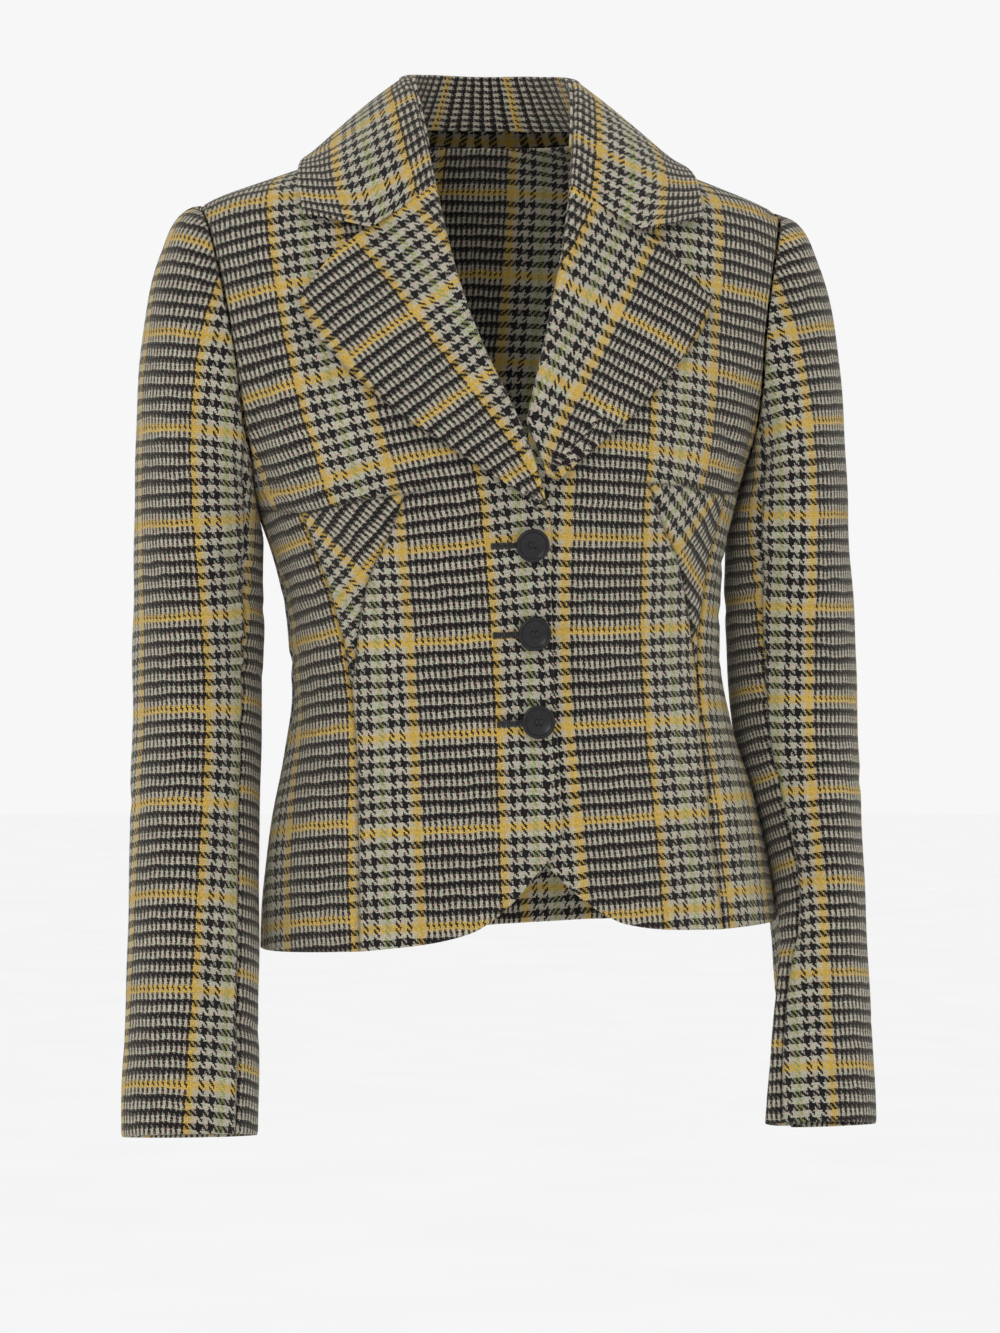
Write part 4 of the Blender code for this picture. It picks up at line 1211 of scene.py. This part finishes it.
def sleeve_lay(side, kind):
    """Low and high ends of a yellow line down the sleeve and a point of a yellow weft line."""
    turn = math.radians({"under": -100.0, "top": 3.0 if side < 0 else 6.0}[kind])
    heights = (-0.640, -0.300, -0.330 if side < 0 else -0.322)
    return [sleeve_section(side, np.array(turn), np.array(z)) for z in heights]


# ---- buttons and buttonholes ----
BUTTON_PROFILE = (
    # shares of the button's radius and height
    (0.0, 0.0), (0.50, 0.0), (0.80, 0.10), (0.94, 0.34), (0.995, 0.58), (1.0, 0.72), (0.975, 0.88),
    (0.93, 0.97), (0.88, 1.0), (0.835, 0.97), (0.81, 0.90), (0.795, 0.83), (0.77, 0.77), (0.70, 0.70),
    (0.55, 0.57), (0.36, 0.46), (0.18, 0.41), (0.0, 0.40),
)
BUTTON_SIDES = 96
HOLE_RADIUS, HOLE_REACH = 0.00085, 0.0021  # the drilled holes, and how far from the middle they lie
STRAND_RADIUS, STRAND_SPACING = 0.00030, 0.00042
STITCH_PITCH, STITCH_RADIUS = 0.00062, 0.00036
SLIT_START = 0.0020  # the buttonhole's outer end, past centre front


def front_frame(z):
    """Place and axes of something fastened at centre front: across, up and outward."""
    plain = on_chest(np.array(0.0), np.array(z))
    centre, way = posed(plain, outward(plain))
    side = posture(plain + (0.01, 0.0, 0.0)) - centre
    side = unit(side - np.dot(side, way) * way)
    return centre, side, np.cross(way, side), way


def make_button(number, z):
    """A turned disc: stepped rim, dished face, four drilled holes, and the thread that crosses them."""
    centre, across, up, way = front_frame(z)

    def raised(height):
        return centre + height * way

    turn = around(BUTTON_SIDES)
    flat = np.cos(turn)[:, None] * across + np.sin(turn)[:, None] * up
    points = [
        raised(BUTTON_STANDOFF + height * BUTTON_HEIGHT) + max(size * BUTTON_RADIUS, 0.0001) * flat
        for size, height in BUTTON_PROFILE
    ]
    faces = tube_faces(len(BUTTON_PROFILE), BUTTON_SIDES)
    disc = mesh_of(f"button_{number}_disc", np.concatenate(points), faces)
    corners = np.radians((45, 135, 225, 315))
    holes = [HOLE_REACH * (math.cos(a) * across + math.sin(a) * up) for a in corners]
    drills = [tube([raised(low) + p for low in (-0.001, 0.004, 0.009)], HOLE_RADIUS, 20) for p in holes]
    cutter = mesh_of("hole_cutter", *joined(drills))
    modifier = disc.modifiers.new("holes", "BOOLEAN")
    modifier.operation = "DIFFERENCE"
    modifier.object = cutter
    graph = bpy.context.evaluated_depsgraph_get()
    drilled = bpy.data.meshes.new_from_object(disc.evaluated_get(graph))
    disc.modifiers.clear()
    disc.data = drilled
    disc.data.shade_smooth()
    disc.data.set_sharp_from_angle(angle=math.radians(38))
    bpy.data.objects.remove(cutter)
    settle_in(disc, HORN, "button", f"button_{number}")

    bars = []
    share = np.linspace(0, 1, 13)[:, None]
    rise = BUTTON_STANDOFF + 0.43 * BUTTON_HEIGHT + 0.00062 * np.sin(math.pi * share) ** 0.6
    rise = rise - 0.0014 * (np.abs(2 * share - 1) > 0.95)
    for low, high in ((holes[3], holes[0]), (holes[2], holes[1])):
        for strand in (-STRAND_SPACING, 0.0, STRAND_SPACING):
            path = raised(rise) + low + (high - low) * share + strand * across
            bars.append(tube(path, STRAND_RADIUS, 8))
    shank = [raised(height) for height in np.linspace(-0.0005, BUTTON_STANDOFF + 0.0004, 5)]
    bars.append(tube(shank, (0.0022, 0.0018, 0.0017, 0.0018, 0.0020), 16))
    settle_in(mesh_of(f"button_{number}_thread", *joined(bars)), TWIST, "thread")


def stitch(across, height, lift, thickness):
    plain = on_chest(across, height)
    way = outward(plain)
    return tube(posed(plain + lift[:, None] * way, way)[0], thickness)


def make_buttonhole(number, z):
    """A worked buttonhole: a slit between two close rows of stitches, with a bar at its inner end."""
    parts = []
    random = np.random.default_rng(40 + number)
    share = np.linspace(0, 1, 6)
    lift = -0.0004 + 0.0013 * np.sin(math.pi * (0.12 + 0.84 * share))
    for k in range(int(BUTTONHOLE_LENGTH / STITCH_PITCH) + 1):
        for row in (-1, 1):
            x = SLIT_START - STITCH_PITCH * k + random.normal(0, 0.00014)
            reach = BUTTONHOLE_WIDTH / 2 * (1.05 + random.normal(0, 0.16))
            height = z + row * (0.00015 + reach * share)
            parts.append(stitch(x + 0.0002 * share, height, lift, STITCH_RADIUS))
    bar = z + np.linspace(-0.0019, 0.0019, 7)
    lift = 0.0001 + 0.0009 * np.sin(np.linspace(0.1, math.pi - 0.1, 7))
    for row in (-1, 0, 1):
        x = np.full(7, SLIT_START - BUTTONHOLE_LENGTH - 0.0004 * row)
        parts.append(stitch(x, bar, lift, 0.00038))
    hole = mesh_of(f"buttonhole_{number}_stitches", *joined(parts))
    settle_in(hole, TWIST, "thread", f"buttonhole_{number}")


# ---- light, floor and camera ----
AZIMUTH = math.radians(-7.5)
BACK = np.array((math.sin(AZIMUTH), -math.cos(AZIMUTH), 0.0))
RIGHT = np.array((math.cos(AZIMUTH), math.sin(AZIMUTH), 0.0))
EYE_HEIGHT, EYE_DISTANCE, EYE_SIDE = -0.3631, 3.115, 0.0071
LENS = 124.65
FLOOR_Z = -1.42  # the wearer's neck is this far above the floor
AIM = Vector((0.0, 0.0, -0.33))  # what the lights point at
LIGHTS = (
    # name, place, size, power
    ("key", (-1.3, -2.7, 1.2), 1.3, 22.0),
    ("fill", (1.9, -2.5, 0.5), 1.8, 2.0),
    ("back", (0.6, 2.8, 0.9), 1.6, 14.0),
)


def make_studio():
    world = bpy.data.worlds.new("studio")
    bpy.context.scene.world = world
    world.use_nodes = True
    background = world.node_tree.nodes["Background"].inputs
    background[0].default_value = (0.93, 0.93, 0.935, 1.0)
    background[1].default_value = 1.0
    for name, place, size, power in LIGHTS:
        lamp = bpy.data.lights.new(name, "AREA")
        lamp.shape = "DISK"
        lamp.size, lamp.energy = size, power
        holder = placed_in_scene(name, lamp)
        holder.location = place
        holder.rotation_euler = (AIM - Vector(place)).to_track_quat("-Z", "Y").to_euler()
    sides, radii = 96, (0.0005, 1.0, 3.0, 9.0, 30.0)
    turn = around(sides)
    circle = np.stack([np.cos(turn), np.sin(turn), np.zeros(sides)], axis=-1)
    points = np.concatenate([size * circle for size in radii]) + (0.0, 0.0, FLOOR_Z)
    floor = mesh_of("floor", points, tube_faces(len(radii), sides, capped=False)[:, ::-1])
    shades = (0.3, (0.965, 0.965, 0.965, 1.0)), (0.7, (0.985, 0.985, 0.985, 1.0))
    g, _ = mottled("floor_paint", (3.0, 2.0), *shades)
    g.put(g.shader, {"Roughness": 0.9, "Specular IOR Level": 0.1})
    floor.data.materials.append(g.material)


def make_camera():
    lens = bpy.data.cameras.new("camera")
    lens.sensor_fit, lens.sensor_width, lens.lens = "AUTO", 36.0, LENS
    lens.clip_start, lens.clip_end = 0.1, 200.0
    holder = placed_in_scene("camera", lens)
    holder.location = BACK * EYE_DISTANCE + RIGHT * EYE_SIDE + (0.0, 0.0, EYE_HEIGHT)
    holder.rotation_euler = (math.pi / 2, 0.0, AZIMUTH)
    bpy.context.scene.camera = holder
    bpy.context.scene.view_settings.view_transform = "Standard"


make_camera()
make_studio()
for side, word in ((-1, "right"), (1, "left")):
    make_body(side, word)
    make_lapel(side, word)
    make_sleeve(side, word)
make_collar()
make_collar_stand()
for number, z in enumerate(BUTTON_Z, start=1):
    make_button(number, z)
    make_buttonhole(number, z)
